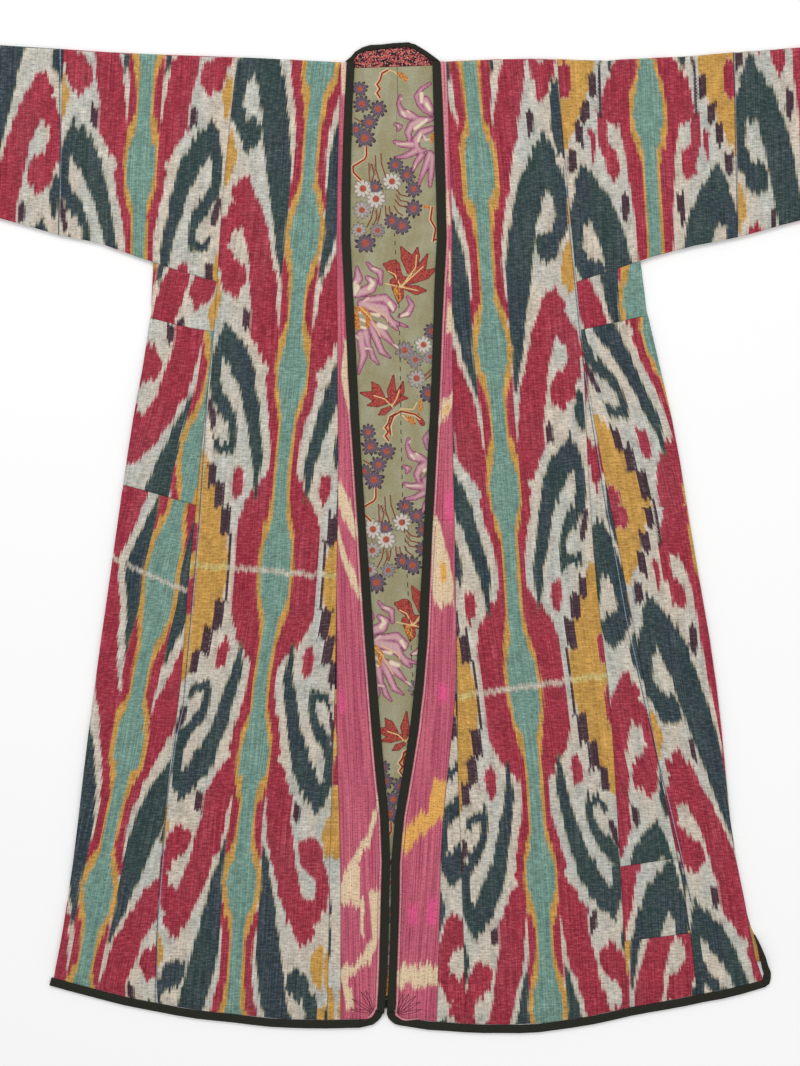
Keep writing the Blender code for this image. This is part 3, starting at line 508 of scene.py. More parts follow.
class Nodes:
    """Adds shader nodes and links in a few words."""

    def __init__(self, name, roughness):
        self.material = bpy.data.materials.new(name)
        self.material.use_nodes = True
        self.tree = self.material.node_tree
        self.surface = self.tree.nodes["Principled BSDF"]
        self.surface.inputs["Roughness"].default_value = roughness
        self.surface.inputs["Specular IOR Level"].default_value = 0.12

    def add(self, kind, settings=(), **inputs):
        node = self.tree.nodes.new("ShaderNode" + kind)
        for key, value in dict(settings).items():
            setattr(node, key, value)
        for key, value in inputs.items():
            number = key[1:] if key[0] == "i" else ""
            socket = node.inputs[int(number) if number.isdigit() else key]
            if isinstance(value, bpy.types.NodeSocket):
                self.tree.links.new(value, socket)
            else:
                socket.default_value = value
        return node

    def math(self, operation, a, b=0.0, c=0.0):
        return self.add("Math", {"operation": operation}, i0=a, i1=b, i2=c).outputs[0]

    def vector(self, operation, a, b=(0, 0, 0), c=(0, 0, 0)):
        return self.add("VectorMath", {"operation": operation}, i0=a, i1=b, i2=c).outputs[0]

    def attribute(self, name):
        return self.add("Attribute", {"attribute_name": name}).outputs["Vector"]

    def join(self, x, y, z):
        return self.add("CombineXYZ", (), X=x, Y=y, Z=z).outputs[0]

    def split(self, vector):
        return self.add("SeparateXYZ", (), i0=vector).outputs[:3]

    def layer(self, name):
        """The three values that are stored under a name."""
        return self.split(self.attribute(name))

    def noise(self, vector, scale, detail=2.0):
        node = self.add("TexNoise", (), Vector=vector, Scale=scale, Detail=detail, Roughness=0.5)
        return node.outputs["Fac"]

    def grain(self, place, across, along, detail):
        """Noise with a size of its own across and along the warp."""
        return self.noise(self.vector("MULTIPLY", place, (across, along, 1.0)), 1.0, detail)

    def stray(self, thread, apart, warp, pace, seed):
        """A value that each thread, or bundle of them, has to itself, and that drifts along it."""
        place = self.join(self.math("MULTIPLY", thread, apart), self.math("MULTIPLY", warp, pace), seed)
        return self.noise(place, 1.0, 0.0)

    def dots(self, place, scale, loose):
        """Distance from the nearest of some scattered points."""
        node = self.add(
            "TexVoronoi", {"voronoi_dimensions": "2D"}, Vector=place, Scale=scale, Randomness=loose)
        return node.outputs["Distance"]

    def blend(self, *parts):
        """The sum of some values, each by its share."""
        total = 0.0
        for value, share in reversed(parts):
            total = self.math("MULTIPLY_ADD", value, share, total)
        return total

    def within(self, value, low, high, start=0.0, end=1.0):
        """value mapped from low..high to start..end, held at the ends."""
        return self.add("MapRange", (), i0=value, i1=low, i2=high, i3=start, i4=end).outputs[0]

    def mix(self, factor, below, above, blend="MIX"):
        node = self.tree.nodes.new("ShaderNodeMix")
        node.data_type = "RGBA"
        node.blend_type = blend
        for index, value in ((0, factor), (6, below), (7, above)):
            if isinstance(value, bpy.types.NodeSocket):
                self.tree.links.new(value, node.inputs[index])
            elif index:
                node.inputs[index].default_value = (*value, 1.0)
            else:
                node.inputs[index].default_value = value
        return node.outputs[2]

    def shade(self, colour, worn):
        """A colour made lighter or darker."""
        return self.mix(1.0, colour, self.join(worn, worn, worn), "MULTIPLY")

    def finish(self, colour, height, depth):
        """Gives the material its colour, and its raised threads, so many millimetres deep."""
        self.tree.links.new(colour, self.surface.inputs["Base Color"])
        bump = self.add("Bump", (), Height=height, Distance=depth * MM, Strength=1.0)
        self.tree.links.new(bump.outputs[0], self.surface.inputs["Normal"])
        return self.material


IVORY = linear(207, 196, 180)
BLUISH = linear(192, 194, 186)
THREAD_BLUE = linear(150, 176, 190)
THREAD_NAVY = linear(36, 42, 62)
CRIMSON = linear(172, 52, 72)
DEEP_CRIMSON = linear(150, 41, 60)
FADED_CRIMSON = linear(172, 72, 86)
NAVY_BLUE = linear(42, 60, 69)
BOTTLE_GREEN = linear(44, 70, 64)
OCHRE = linear(188, 150, 74)
ORANGE = linear(210, 154, 78)
VIOLET_BROWN = linear(70, 48, 58)
TEAL = linear(130, 162, 148)
DEEP_TEAL = linear(100, 140, 130)
WARM_IVORY = linear(212, 190, 168)
PINK_BLEED = linear(214, 160, 158)
OLIVE_BLEED = linear(120, 116, 66)
GREY_NAVY = linear(66, 74, 84)
PALE_OCHRE = linear(206, 196, 128)
TIED = 2.5          # width of the bundles that are tied and dyed together
THREAD = 0.62       # width of the threads that stray by themselves


def make_ikat():
    """Ikat: colours keep to whole bundles of warp threads, which slip and feather along the warp."""
    n = Nodes("ikat", 0.62)
    side, warp, away = n.layer("loom")
    wander = n.noise(n.join(side, 0.0, 0.0), 0.37, 1.0)
    place = n.math("DIVIDE", n.math("MULTIPLY_ADD", wander, 2.2, side), TIED)
    bundle = n.math("FLOOR", place)
    off = n.math("MULTIPLY", n.math("SUBTRACT", n.math("ADD", bundle, 0.5), place), TIED)
    off = n.within(off, -1.0, 1.0, -1.0, 1.0)
    thread = n.math("FLOOR", n.math("DIVIDE", side, THREAD))
    slip = n.stray(bundle, 7.31, warp, 0.014, 0.0)
    stray = n.stray(thread, 5.17, warp, 0.05, 4.0)
    shift = n.math(
        "ADD", n.within(slip, 0.25, 0.75, -5.0, 5.0), n.within(stray, 0.2, 0.8, -2.4, 2.4))
    shifts = n.join(shift, shift, shift)
    offs = n.join(off, off, off)
    fields = []
    for part in "ab":
        up = n.attribute("up_" + part)
        value = n.vector("MULTIPLY_ADD", up, shifts, n.attribute("cloth_" + part))
        value = n.vector("MULTIPLY_ADD", n.attribute("across_" + part), offs, value)
        fields += zip(n.split(value), n.split(n.vector("ABSOLUTE", up)))
    navy, red, yellow, brown, rim, teal = fields
    whole = n.join(side, warp, 0.0)
    tone = n.grain(whole, 0.028, 0.008, 2.0)
    streak = n.grain(whole, 0.9, 0.012, 3.0)
    fleck = n.grain(whole, 1.9, 1.1, 1.0)
    cross = n.grain(whole, 0.14, 0.62, 1.0)

    def inside(field, bleed=0.0, soft=0.35, spread=1.5):
        """How far a place is inside a dyed patch, from 0 to 1 over the patch's feathered edge."""
        value, slope = field
        edge = n.math("MULTIPLY_ADD", slope, spread, soft)
        depth = n.math("SUBTRACT", edge, n.math("SUBTRACT", value, bleed))
        share = n.math("DIVIDE", depth, n.math("MULTIPLY", edge, 2.0))
        return n.math("SMOOTH_MIN", n.math("MAXIMUM", share, 0.0), 1.0, 0.1)

    ground = n.mix(n.within(tone, 0.42, 0.6), IVORY, BLUISH)
    ground = n.mix(n.within(streak, 0.45, 0.8, 0.0, 0.4), ground, WARM_IVORY)
    colour = n.mix(n.math("MULTIPLY", inside(red, 0.9, 0.7), 0.4), ground, PINK_BLEED)
    faded = n.mix(n.within(tone, 0.46, 0.66, 0.0, 0.8), CRIMSON, FADED_CRIMSON)
    colour = n.mix(inside(red), colour, n.mix(n.within(streak, 0.3, 0.7), DEEP_CRIMSON, faded))
    colour = n.mix(n.math("MULTIPLY", inside(navy, 0.6, 0.3, 3.2), 0.75), colour, OLIVE_BLEED)
    blue = n.mix(n.within(tone, 0.4, 0.6), NAVY_BLUE, BOTTLE_GREEN)
    colour = n.mix(inside(navy), colour, n.mix(n.within(streak, 0.4, 0.75), blue, GREY_NAVY))
    colour = n.mix(inside(yellow), colour, n.mix(streak, OCHRE, ORANGE))
    colour = n.mix(inside(brown), colour, VIOLET_BROWN)
    colour = n.mix(inside(rim), colour, n.mix(n.within(streak, 0.3, 0.7), OCHRE, ORANGE))
    colour = n.mix(inside(teal), colour, n.mix(n.within(streak, 0.3, 0.7), DEEP_TEAL, TEAL))
    uneven = n.stray(bundle, 3.7, 0.0, 0.0, 9.0)
    bare = n.math("MULTIPLY", n.math("SUBTRACT", uneven, 0.5), 14.0)
    jagged = n.math("ADD", bare, n.math("MULTIPLY", stray, 5.0))
    resist = n.math("ABSOLUTE", n.math("ADD", away, n.math("SUBTRACT", jagged, 2.5)))
    strength = n.math(
        "MULTIPLY", n.within(resist, 4.2, 1.2, 0.0, 0.8), n.within(streak, 0.3, 0.5, 0.35, 1.0))
    colour = n.mix(strength, colour, n.mix(inside(yellow), IVORY, PALE_OCHRE))
    quilting = n.dots(n.vector("MULTIPLY", whole, (0.075, 0.12, 1.0)), 1.0, 0.4)
    colour = n.mix(n.within(quilting, 0.045, 0.075, 0.5, 0.0), colour, VIOLET_BROWN)
    seam, seam_gap, _ = n.layer("selvedge")
    near = n.within(seam_gap, 2.2, 2.8, 1.0, 0.0)
    for middle, tint, strength in ((-0.9, THREAD_BLUE, 0.6), (0.15, THREAD_NAVY, 0.8)):
        thin = n.within(n.math("ABSOLUTE", n.math("SUBTRACT", seam, middle)), 0.3, 0.6, strength, 0.0)
        colour = n.mix(n.math("MULTIPLY", thin, near), colour, tint)
    blotch = n.grain(whole, 0.5, 0.32, 2.0)
    mottled = n.blend((fleck, 0.24), (cross, 0.34), (streak, 0.2), (blotch, 0.22))
    colour = n.mix(n.within(mottled, 0.48, 0.64, 0.0, 0.09), colour, IVORY)
    patchy = n.grain(whole, 0.11, 0.06, 3.0)
    worn = n.math(
        "MULTIPLY", n.within(mottled, 0.37, 0.63, 0.58, 1.34), n.within(patchy, 0.3, 0.7, 0.84, 1.17))
    n.surface.inputs["Sheen Weight"].default_value = 0.03
    return n.finish(n.shade(colour, worn), n.blend((fleck, 0.8), (cross, 0.5)), 0.16)


IKAT = make_ikat()
for name, spec in BODY_STEMS.items():
    grid, upper, gap = fine_copy(name, FRONT, BEHIND)
    relax_form(upper, gap, *SEAM)
    mesh = add_shell(name, grid, IKAT)
    paint_pattern(mesh, spec, BACK_STEMS[name], SHOULDER)

# Sleeves. Each is two loom widths of the same ikat, side by side and folded along the top, with
# their warp across the arm. They are sewn to the body length and closed with a seam underneath.
SLEEVE_STEMS = {
    "sleeve_left_inner": (((596, -314), (448, -324), (348, -326)), 211, 0, 1, 1, "A"),
    "sleeve_left_outer": (((605, -525), (380, -535)), 90, 0, 1, 1, "D"),
    "sleeve_right_inner": (((591, 307), (486, 311), (355, 319)), -218, 0, 1, 1, "B"),
    "sleeve_right_outer": (((605, 519), (380, 524)), -133, 0, 1.07, 1, "B")}
SLEEVE_FOLD = 605.0
# Where an edge is drawn out to its neighbour or to the braid: middle, reach and pull.
EASED = {
    "sleeve_right_inner": ((409, 370), (90, 380), (12.5, 0)),
    "sleeve_right_outer": ((409, 370), (90, 380), (12.5, 0)),
    "gore_back_right": ((450, -538), (70, 70), (13, 0)),
    "gore_right": ((448, -556), (30, 30), (5, -4)),
    "band_left": ((-39.5, -600.5), (17, 17), (4, -6)),
    "band_right_lower": ((5, -602.5), (20, 20), (-2, -6))}


def ease_edge(name, grid):
    """Draws the cloth out softly round one place on its edge, if the table has one for it."""
    if name not in EASED:
        return
    (x, y), (wide, long), (east, north) = EASED[name]
    for v in grid.verts:
        near = max(0, 1 - ((v.co.x / MM - x) / wide) ** 2 - ((v.co.y / MM - y) / long) ** 2) ** 2
        v.co.x += east * near * MM
        v.co.y += north * near * MM


for name, spec in SLEEVE_STEMS.items():
    grid, upper, gap = fine_copy(name, FRONT, BEHIND)
    ease_edge(name, grid)
    relax_form(upper, gap, *SEAM)
    mesh = add_shell(name, grid, IKAT)
    paint_pattern(mesh, spec, None, SLEEVE_FOLD)

# Gussets, gores, wedge, patches and strips. Offcuts of the same ikat widen the robe: a square
# gusset folded round each underarm, long gores down the sides and a wedge with two patches.
GORE_STEMS = {
    "gusset_left": (((335, -324), (267, -336)), -54, 0, 1, 1, "A"),
    "gusset_right": (((313, 295), (255, 300)), -139, 0, 1, 1, "A"),
    "gore_left_upper": (
        ((248, -224), (167, -236), (125, -247), (80, -259), (42, -266)), 514, -0.6, 1, 0.98, "A"),
    "gore_left_lower": (
        ((42, -275), (25, -279), (-14, -289), (-49, -297), (-90, -302), (-169, -322), (-275, -340),
         (-357, -358), (-443, -375), (-529, -391), (-564, -398)), -812, -0.41, 0.86, 1, "A"),
    "gore_right": (
        ((251, 320), (198, 333), (117, 358), (23, 379), (-25, 387), (-83, 396), (-139, 401),
         (-205, 410), (-292, 427), (-370, 442), (-434, 452), (-519, 465), (-564, 472)),
        -767, 0, 1.0175, 1, "C"),
    "wedge_right": (
        ((230, 144), (12, 165), (-83, 179), (-173, 200), (-255, 211), (-339, 230), (-420, 240)),
        -661, 0, 1, 1, "D"),
    "wedge_patch_upper": (((-402, 251), (-508, 255)), -1084, 0, 1, 1, "D"),
    "wedge_patch_lower": (((-502, 262), (-608, 267)), -928, 0, 1, 1, "E"),
    "front_strip_left": (((-183, -180), (-608, -190)), -264, 0, 1, 1, "A"),
    "front_strip_right": (((-183, 141), (-610, 157)), -159, 0, 1, 0.94, "D"),
    "gore_back_left": (((250, -320), (-600, -330)), -150, 0, 1, 1, "A"),
    "gore_back_right": (((250, 330), (-450, 420), (-515, 435), (-600, 447)), -392, 0, 1, 1, "B")}
for name, spec in GORE_STEMS.items():
    back = "back" in name
    grid, upper, gap = fine_copy(name, BEHIND if back else FRONT, BEHIND if back else 0)
    ease_edge(name, grid)
    if not back:
        relax_form(upper, gap, *SEAM)
    paint_pattern(add_shell(name, grid, IKAT), spec)

# Lining of the back. One width of thin printed cotton, sewn in flat with a box pleat at the neck.
# Its print is of asters, grasses, twigs, red leaves and large chrysanthemums on an olive ground.
LINING_FINE = 1.7
REPEAT = 343            # length of the print's repeat, which is a little slanted and eased
REPEAT_TOP = 462
REPEAT_LEAN = (8, 0.017)    # how far each repeat lies to the right, and more so further down
REPEAT_EASE = 0.023         # each repeat is this much shorter
FULL_PETAL = 0.7        # added to every petal's half width
FULL_ASTER = 1.18       # every aster's radius is multiplied by this
# Strokes: each is a run of points (x, y, half width), or of points alone for the thin lines.
PETALS = (
    ((30, 449, 1.2), (21.5, 443.5, 2), (16.5, 436.5, 2.2), (19, 427.5, 1.8), (24.5, 421.5, 1.6),
     (32, 417.5, 1.2)),
    ((25, 431.5, 4.5), (30, 422.5, 4)),
    ((0, 436.5, 1.2), (-1.5, 428.5, 1.8), (2.5, 419, 3.4), (10.5, 415, 2.5)),
    ((5.5, 420, 3), (11.5, 417, 3.4), (17.5, 414, 2)),
    ((31, 413, 2), (19.5, 412, 4), (11.5, 407, 3.6), (8, 400, 3), (9.5, 393.5, 2)),
    ((32, 404, 2.5), (21.5, 400, 3.4), (16, 393.5, 3.2), (16.5, 385.5, 3), (20.5, 381, 2.6),
     (24.5, 382.5, 1.5)),
    ((-5, 390.5, 1.5), (2, 388, 2.6), (12.5, 388, 3.6)),
    ((-3.5, 375, 1), (5.5, 376.5, 2.4), (15.5, 381.5, 3.4)),
    ((13, 362, 1), (16, 369.5, 2.4), (21.5, 377.5, 3)),
    ((18.5, 348, 0.8), (23.5, 361, 2.6), (30, 378.5, 3.4)),
    ((30, 347, 1.5), (31, 358, 2.6), (32.5, 376.5, 3)),
    ((-4.5, 408, 1.6), (0.5, 406, 1.8), (-2.5, 402, 1)),
    ((-32.5, 269.5, 1.2), (-28, 264, 2.2), (-20, 260.5, 3), (-19, 249, 1.4)),
    ((-43, 265, 1.5), (-41.5, 254, 4), (-47, 245.5, 4)),
    ((-32.5, 255, 2), (-26.5, 250, 4), (-29.5, 244, 5), (-42.5, 239, 4)),
    ((-34, 232.5, 3), (-15.5, 234.5, 4), (-7, 226, 3.6), (-7, 221, 1)),
    ((-38.5, 229, 4), (-17, 223, 6), (-10.5, 213.5, 2.5)),
    ((-12.5, 216.5, 3), (-7, 209, 3.4), (-2.5, 203, 1)), ((-6.5, 210.5, 2.4), (7.5, 206, 0.6)),
    ((-1, 216, 1), (7.5, 219.5, 3.4), (12, 227.5, 2.4), (7.5, 235.5, 1.2)),
    ((-29.5, 210.5, 2.4), (-20, 203, 4.6), (-5.5, 187, 1)),
    ((-31, 209, 2), (-25.5, 198.5, 3.4), (-18.5, 181.5, 3), (-9.5, 175, 0.6)),
    ((-39.5, 198.5, 4), (-36.5, 177, 3.6), (-41.5, 159.5, 1)),
    ((-29.5, 184.5, 2), (-27, 175.5, 2.6), (-21.5, 168.5, 0.6)), ((-34.5, 200, 4), (-31, 184.5, 2)))
PETAL_LIGHTS = (
    ((21.5, 438.5, 2.4), (21.5, 430.5, 2)), ((26.5, 428.5, 2.4), (30, 422.5, 2)),
    ((1.5, 434, 1.2), (1, 432.5, 1)), ((2.5, 420, 1.8), (5.5, 416, 1.4)),
    ((7.5, 421.5, 1.4), (10.5, 419, 1.2)), ((15, 404, 2.2), (26.5, 412.5, 2)),
    ((18, 391.5, 1.8), (20.5, 398.5, 1.8)), ((23.5, 397, 1), (25.5, 392.5, 1.4), (30, 393, 1)),
    ((-3, 388.5, 1.2), (9.5, 388.5, 1.4)), ((14, 364, 0.9), (16, 369.5, 0.9)),
    ((-2, 407, 1.2), (-1.5, 405, 0.8)), ((-27, 264, 1.4), (-22.5, 262.5, 1.4)),
    ((-44.5, 250.5, 2), (-48, 245.5, 2)), ((-30, 253.5, 1.6), (-27, 249, 2.4), (-31, 244, 2.4)),
    ((-43, 245.5, 3.4), (-46, 239.5, 3.4)), ((-31.5, 234.5, 1.4), (-37, 230.5, 1.2)),
    ((-10.5, 229.5, 2.6), (-7, 223, 1.6)), ((-29.5, 219, 1.2), (-21.5, 217.5, 2.4)),
    ((-21, 207.5, 3), (-14, 205, 2.4)), ((-6.5, 188.5, 1), (-2.5, 185.5, 1.4)),
    ((1, 216.5, 1.4), (7.5, 219, 2.2)), ((-41.5, 223, 2), (-39.5, 219.5, 1.6)),
    ((-39.5, 213.5, 1.6), (-34.5, 211.5, 2)), ((-40, 206, 1.6), (-34.5, 204.5, 2)),
    ((-44.5, 197, 1.4), (-41.5, 194.5, 1.4)), ((-34.5, 184.5, 1.4), (-28.5, 183.5, 1)))
GOLDS = (
    ((-45.5, 224.5, 2), (-37, 223, 3), (-31.5, 216.5, 3), (-32.5, 206, 2)),
    ((-44.5, 218, 3), (-42.5, 206, 3)), ((32.5, 398, 1.8), (32, 390.5, 1.5)),
    ((0, 458, 2.6), (5.5, 453.5, 2.6)), ((21, 131.5, 1.6), (20.5, 123.5, 2)),
    ((24, 326, 1.4), (32, 324.5, 1.4)), ((-3.5, 242.5, 3.4), (-1, 233.5, 2)))
LEAVES = (
    ((9.5, 261, 3), (6.5, 275, 6), (1, 285.5, 1.2)), ((13.5, 264, 3), (16, 276.5, 4.2), (17.5, 285, 1)),
    ((-1, 256.5, 4), (-7, 265.5, 7.5), (-15.5, 268, 2)),
    ((12, 253.5, 3), (22.5, 267, 4.4), (27.5, 278.5, 1)),
    ((13.5, 252, 3), (25.5, 258, 5), (36.5, 264, 1)),
    ((4.5, 245.5, 2.4), (16.5, 242.5, 5), (25.5, 242, 1.4)),
    ((-2.5, 245.5, 6), (-0.5, 236.5, 4.6), (-2, 229.5, 1)),
    ((-6.5, 250.5, 4), (1, 252, 5), (9, 252, 4)), ((-14, 131.5, 2.6), (-26.5, 137, 5), (-39.5, 140, 1)),
    ((-18, 136.5, 3), (-24, 144.5, 4.6), (-28, 150.5, 1)),
    ((-14, 131.5, 3.4), (-23.5, 129.5, 4), (-32.5, 127.5, 1)),
    ((-8, 128.5, 2.4), (-8.5, 141.5, 4.8), (-6.5, 157.5, 1)),
    ((-5, 131.5, 3), (1, 141.5, 3.8), (3, 151, 1)), ((-6.5, 128, 2), (1, 135, 3.4), (7.5, 134.5, 1)),
    ((-9.5, 125, 2), (-16.5, 121, 3.6), (-21.5, 118, 0.8)), ((17.5, 117, 2.4), (22.5, 109.5, 2.8)))
TWIGS = (
    ((-13.5, 461.5), (-18, 459), (-19.5, 453), (-23, 448), (-20, 443.5), (-23, 439.5),
     (-20.5, 435.5)),
    ((-33.5, 384.5), (-33.5, 376.5), (-35.5, 373), (-41.5, 369.5), (-47, 366), (-46.5, 360),
     (-39.5, 353)),
    ((32, 324), (30.5, 313), (35.5, 304), (33.5, 292.5), (36.5, 293)),
    ((-9.5, 99), (-10.5, 106.5), (-6.5, 117), (1, 121.5), (15, 118.5), (19, 115.5)))
GRASS = (
    ((-31, 368.5), (-30.5, 352.5)), ((-28, 367.5), (-26, 359), (-27.5, 352)),
    ((-24.5, 376), (-24, 363), (-20.5, 352)), ((-19, 378), (-18.5, 369), (-14.5, 356.5)),
    ((-44.5, 414), (-38, 410)), ((-26.5, 324), (-28.5, 314.5), (-32.5, 306.5)),
    ((-23.5, 321.5), (-23.5, 314.5), (-25.5, 309.5)), ((-19.5, 323), (-20, 317.5), (-21.5, 312.5)),
    ((-14.5, 325.5), (-14, 317)), ((-10.5, 325), (-9.5, 316)), ((-5.5, 326), (-2.5, 320.5), (2, 317.5)),
    ((-3, 342), (1, 337.5), (8, 336)), ((-3.5, 337), (0.5, 332), (7.5, 330.5)),
    ((-4.5, 332), (-0.5, 327), (6.5, 325.5)), ((25, 157.5), (32, 164)), ((26.5, 154), (33, 159.5)))
VEINS = (
    ((-14, 249), (1, 245.5), (16.5, 242.5)), ((1, 245.5), (9, 256.5), (15.5, 265), (16.5, 276.5)),
    ((1, 245.5), (9.5, 253.5), (22.5, 265.5)), ((1, 245.5), (-5, 258), (-11, 261)),
    ((-8, 126.5), (-15.5, 134), (-25, 137)), ((-8, 126.5), (-3.5, 134), (-1, 141.5)),
    ((-15, 458.5), (-10, 462), (-5, 460), (-2.5, 457)),
    ((-2.5, 120), (1, 124), (13.5, 123.5), (16.5, 129.5)), ((-29.5, 224.5), (-14, 216.5), (-12.5, 212)),
    ((-40, 226), (-29.5, 215), (-20, 197)))
ASTERS = (
    (-38.0, 428.5, 8.5, 0), (-22.0, 423.5, 8.5, 0), (-30.5, 410.0, 8, 0), (-35.0, 394.5, 10, 0),
    (-40.0, 443.5, 7.5, 0), (-44.5, 403.0, 7, 0), (-4.5, 367.5, 8, 0), (7.0, 357.5, 8, 0),
    (-8.0, 351.0, 9, 1), (-24.5, 345.5, 7, 0), (-37.0, 344.0, 9.5, 1), (13.5, 343.5, 8, 0),
    (-24.0, 333.5, 9.5, 1), (-38.0, 322.5, 8.5, 0.6), (13.5, 324.0, 8.5, 0), (-41.0, 302.5, 7.5, 0.6),
    (-22.5, 302.0, 7, 0.3), (-8.0, 311.5, 8, 0), (2.0, 307.0, 9, 0), (-34.5, 289.5, 10, 0),
    (32.0, 201.5, 8, 0), (23.5, 188.0, 8.5, 1), (4.5, 182.5, 9, 0.3), (15.5, 173.0, 8, 0.3),
    (30.0, 176.0, 6.5, 0.4), (16.5, 154.5, 9, 0.6), (28.5, 139.5, 9, 0))
# Stitched lines: one runs down the middle of the lining, the other is the pleat's edge.
STITCH_LINE = ((-165, 14), (-40, 7), (40, 2.5), (100, 1), (158, 0.5), (228, -1), (298, -5.5), (330, -6))
PLEAT_LINE = ((380, -4.5), (400, -3.5), (440, -2.5), (462, -2.8))


def repeats(rows):
    """Motifs with their repeats further down the cloth."""
    made = list(rows)
    for _ in range(2):
        rows = [tuple(
            (x + REPEAT_LEAN[0] + (REPEAT_TOP - y) * REPEAT_LEAN[1],
             y - REPEAT + (REPEAT_TOP - y) * REPEAT_EASE, *rest)
            for x, y, *rest in row) for row in rows]
        made += rows
    return made


def paint_print(mesh):
    """Stores how far each vertex is from the print's motifs and from the stitched lines."""
    x, y = places(mesh)
    best = np.full(x.shape, FAR)
    aster = np.zeros((3, *x.shape))
    for cx, cy, radius, pale in (a for row in repeats([ASTERS]) for a in row):
        radius = radius * FULL_ASTER
        far = np.hypot(x - cx, y - cy) / radius
        near = far < best
        best = np.where(near, far, best)
        for i, value in enumerate(((x - cx) / radius, (y - cy) / radius, pale)):
            aster[i] = np.where(near, value, aster[i])
    twig, vein, grass = (nearest_line(x, y, repeats(rows)) for rows in (TWIGS, VEINS, GRASS))
    petal, light, leaf, gold = (
        stroke_field(x, y, repeats(rows)) for rows in (PETALS, PETAL_LIGHTS, LEAVES, GOLDS))
    petal = petal - FULL_PETAL
    stitch, pleat = (x - np.interp(y, *zip(*line)) for line in (STITCH_LINE, PLEAT_LINE))
    store(
        mesh, print_a=(petal, light, leaf), print_b=(gold, *twig), print_c=(*vein, best),
        print_d=(*grass, y), print_e=(stitch, pleat, x), aster=aster)


OLIVE, PALE_OLIVE = linear(156, 148, 114), linear(166, 162, 134)
ASTER_SHADE, ASTER_LINE = linear(112, 98, 100), linear(50, 42, 50)
ASTER_MAUVE, ASTER_WHITE = linear(112, 94, 112), linear(206, 198, 188)
ASTER_GREY = linear(70, 60, 68)
HEART_RED, HEART_ORANGE = linear(120, 56, 62), linear(206, 110, 72)
GRASS_BROWN = linear(128, 70, 52)
PETAL_DEEP, PETAL_PINK, PETAL_LINE = linear(150, 78, 112), linear(190, 130, 152), linear(124, 60, 88)
PETAL_PALE, PETAL_CREAM = linear(216, 176, 174), linear(228, 214, 186)
PETAL_ROSE = linear(204, 160, 162)
LEAF_RED, LEAF_ORANGE, LEAF_LINE = linear(146, 50, 56), linear(182, 88, 72), linear(104, 38, 42)
GOLD_DEEP, GOLD_PALE = linear(168, 80, 44), linear(220, 158, 84)
VEIN_CREAM = linear(226, 194, 134)
TWIG_LIGHT, TWIG_ORANGE, TWIG_RED = linear(222, 194, 160), linear(214, 160, 112), linear(142, 48, 34)
STITCH_DARK, PLEAT_DARK = linear(58, 50, 44), linear(92, 84, 62)


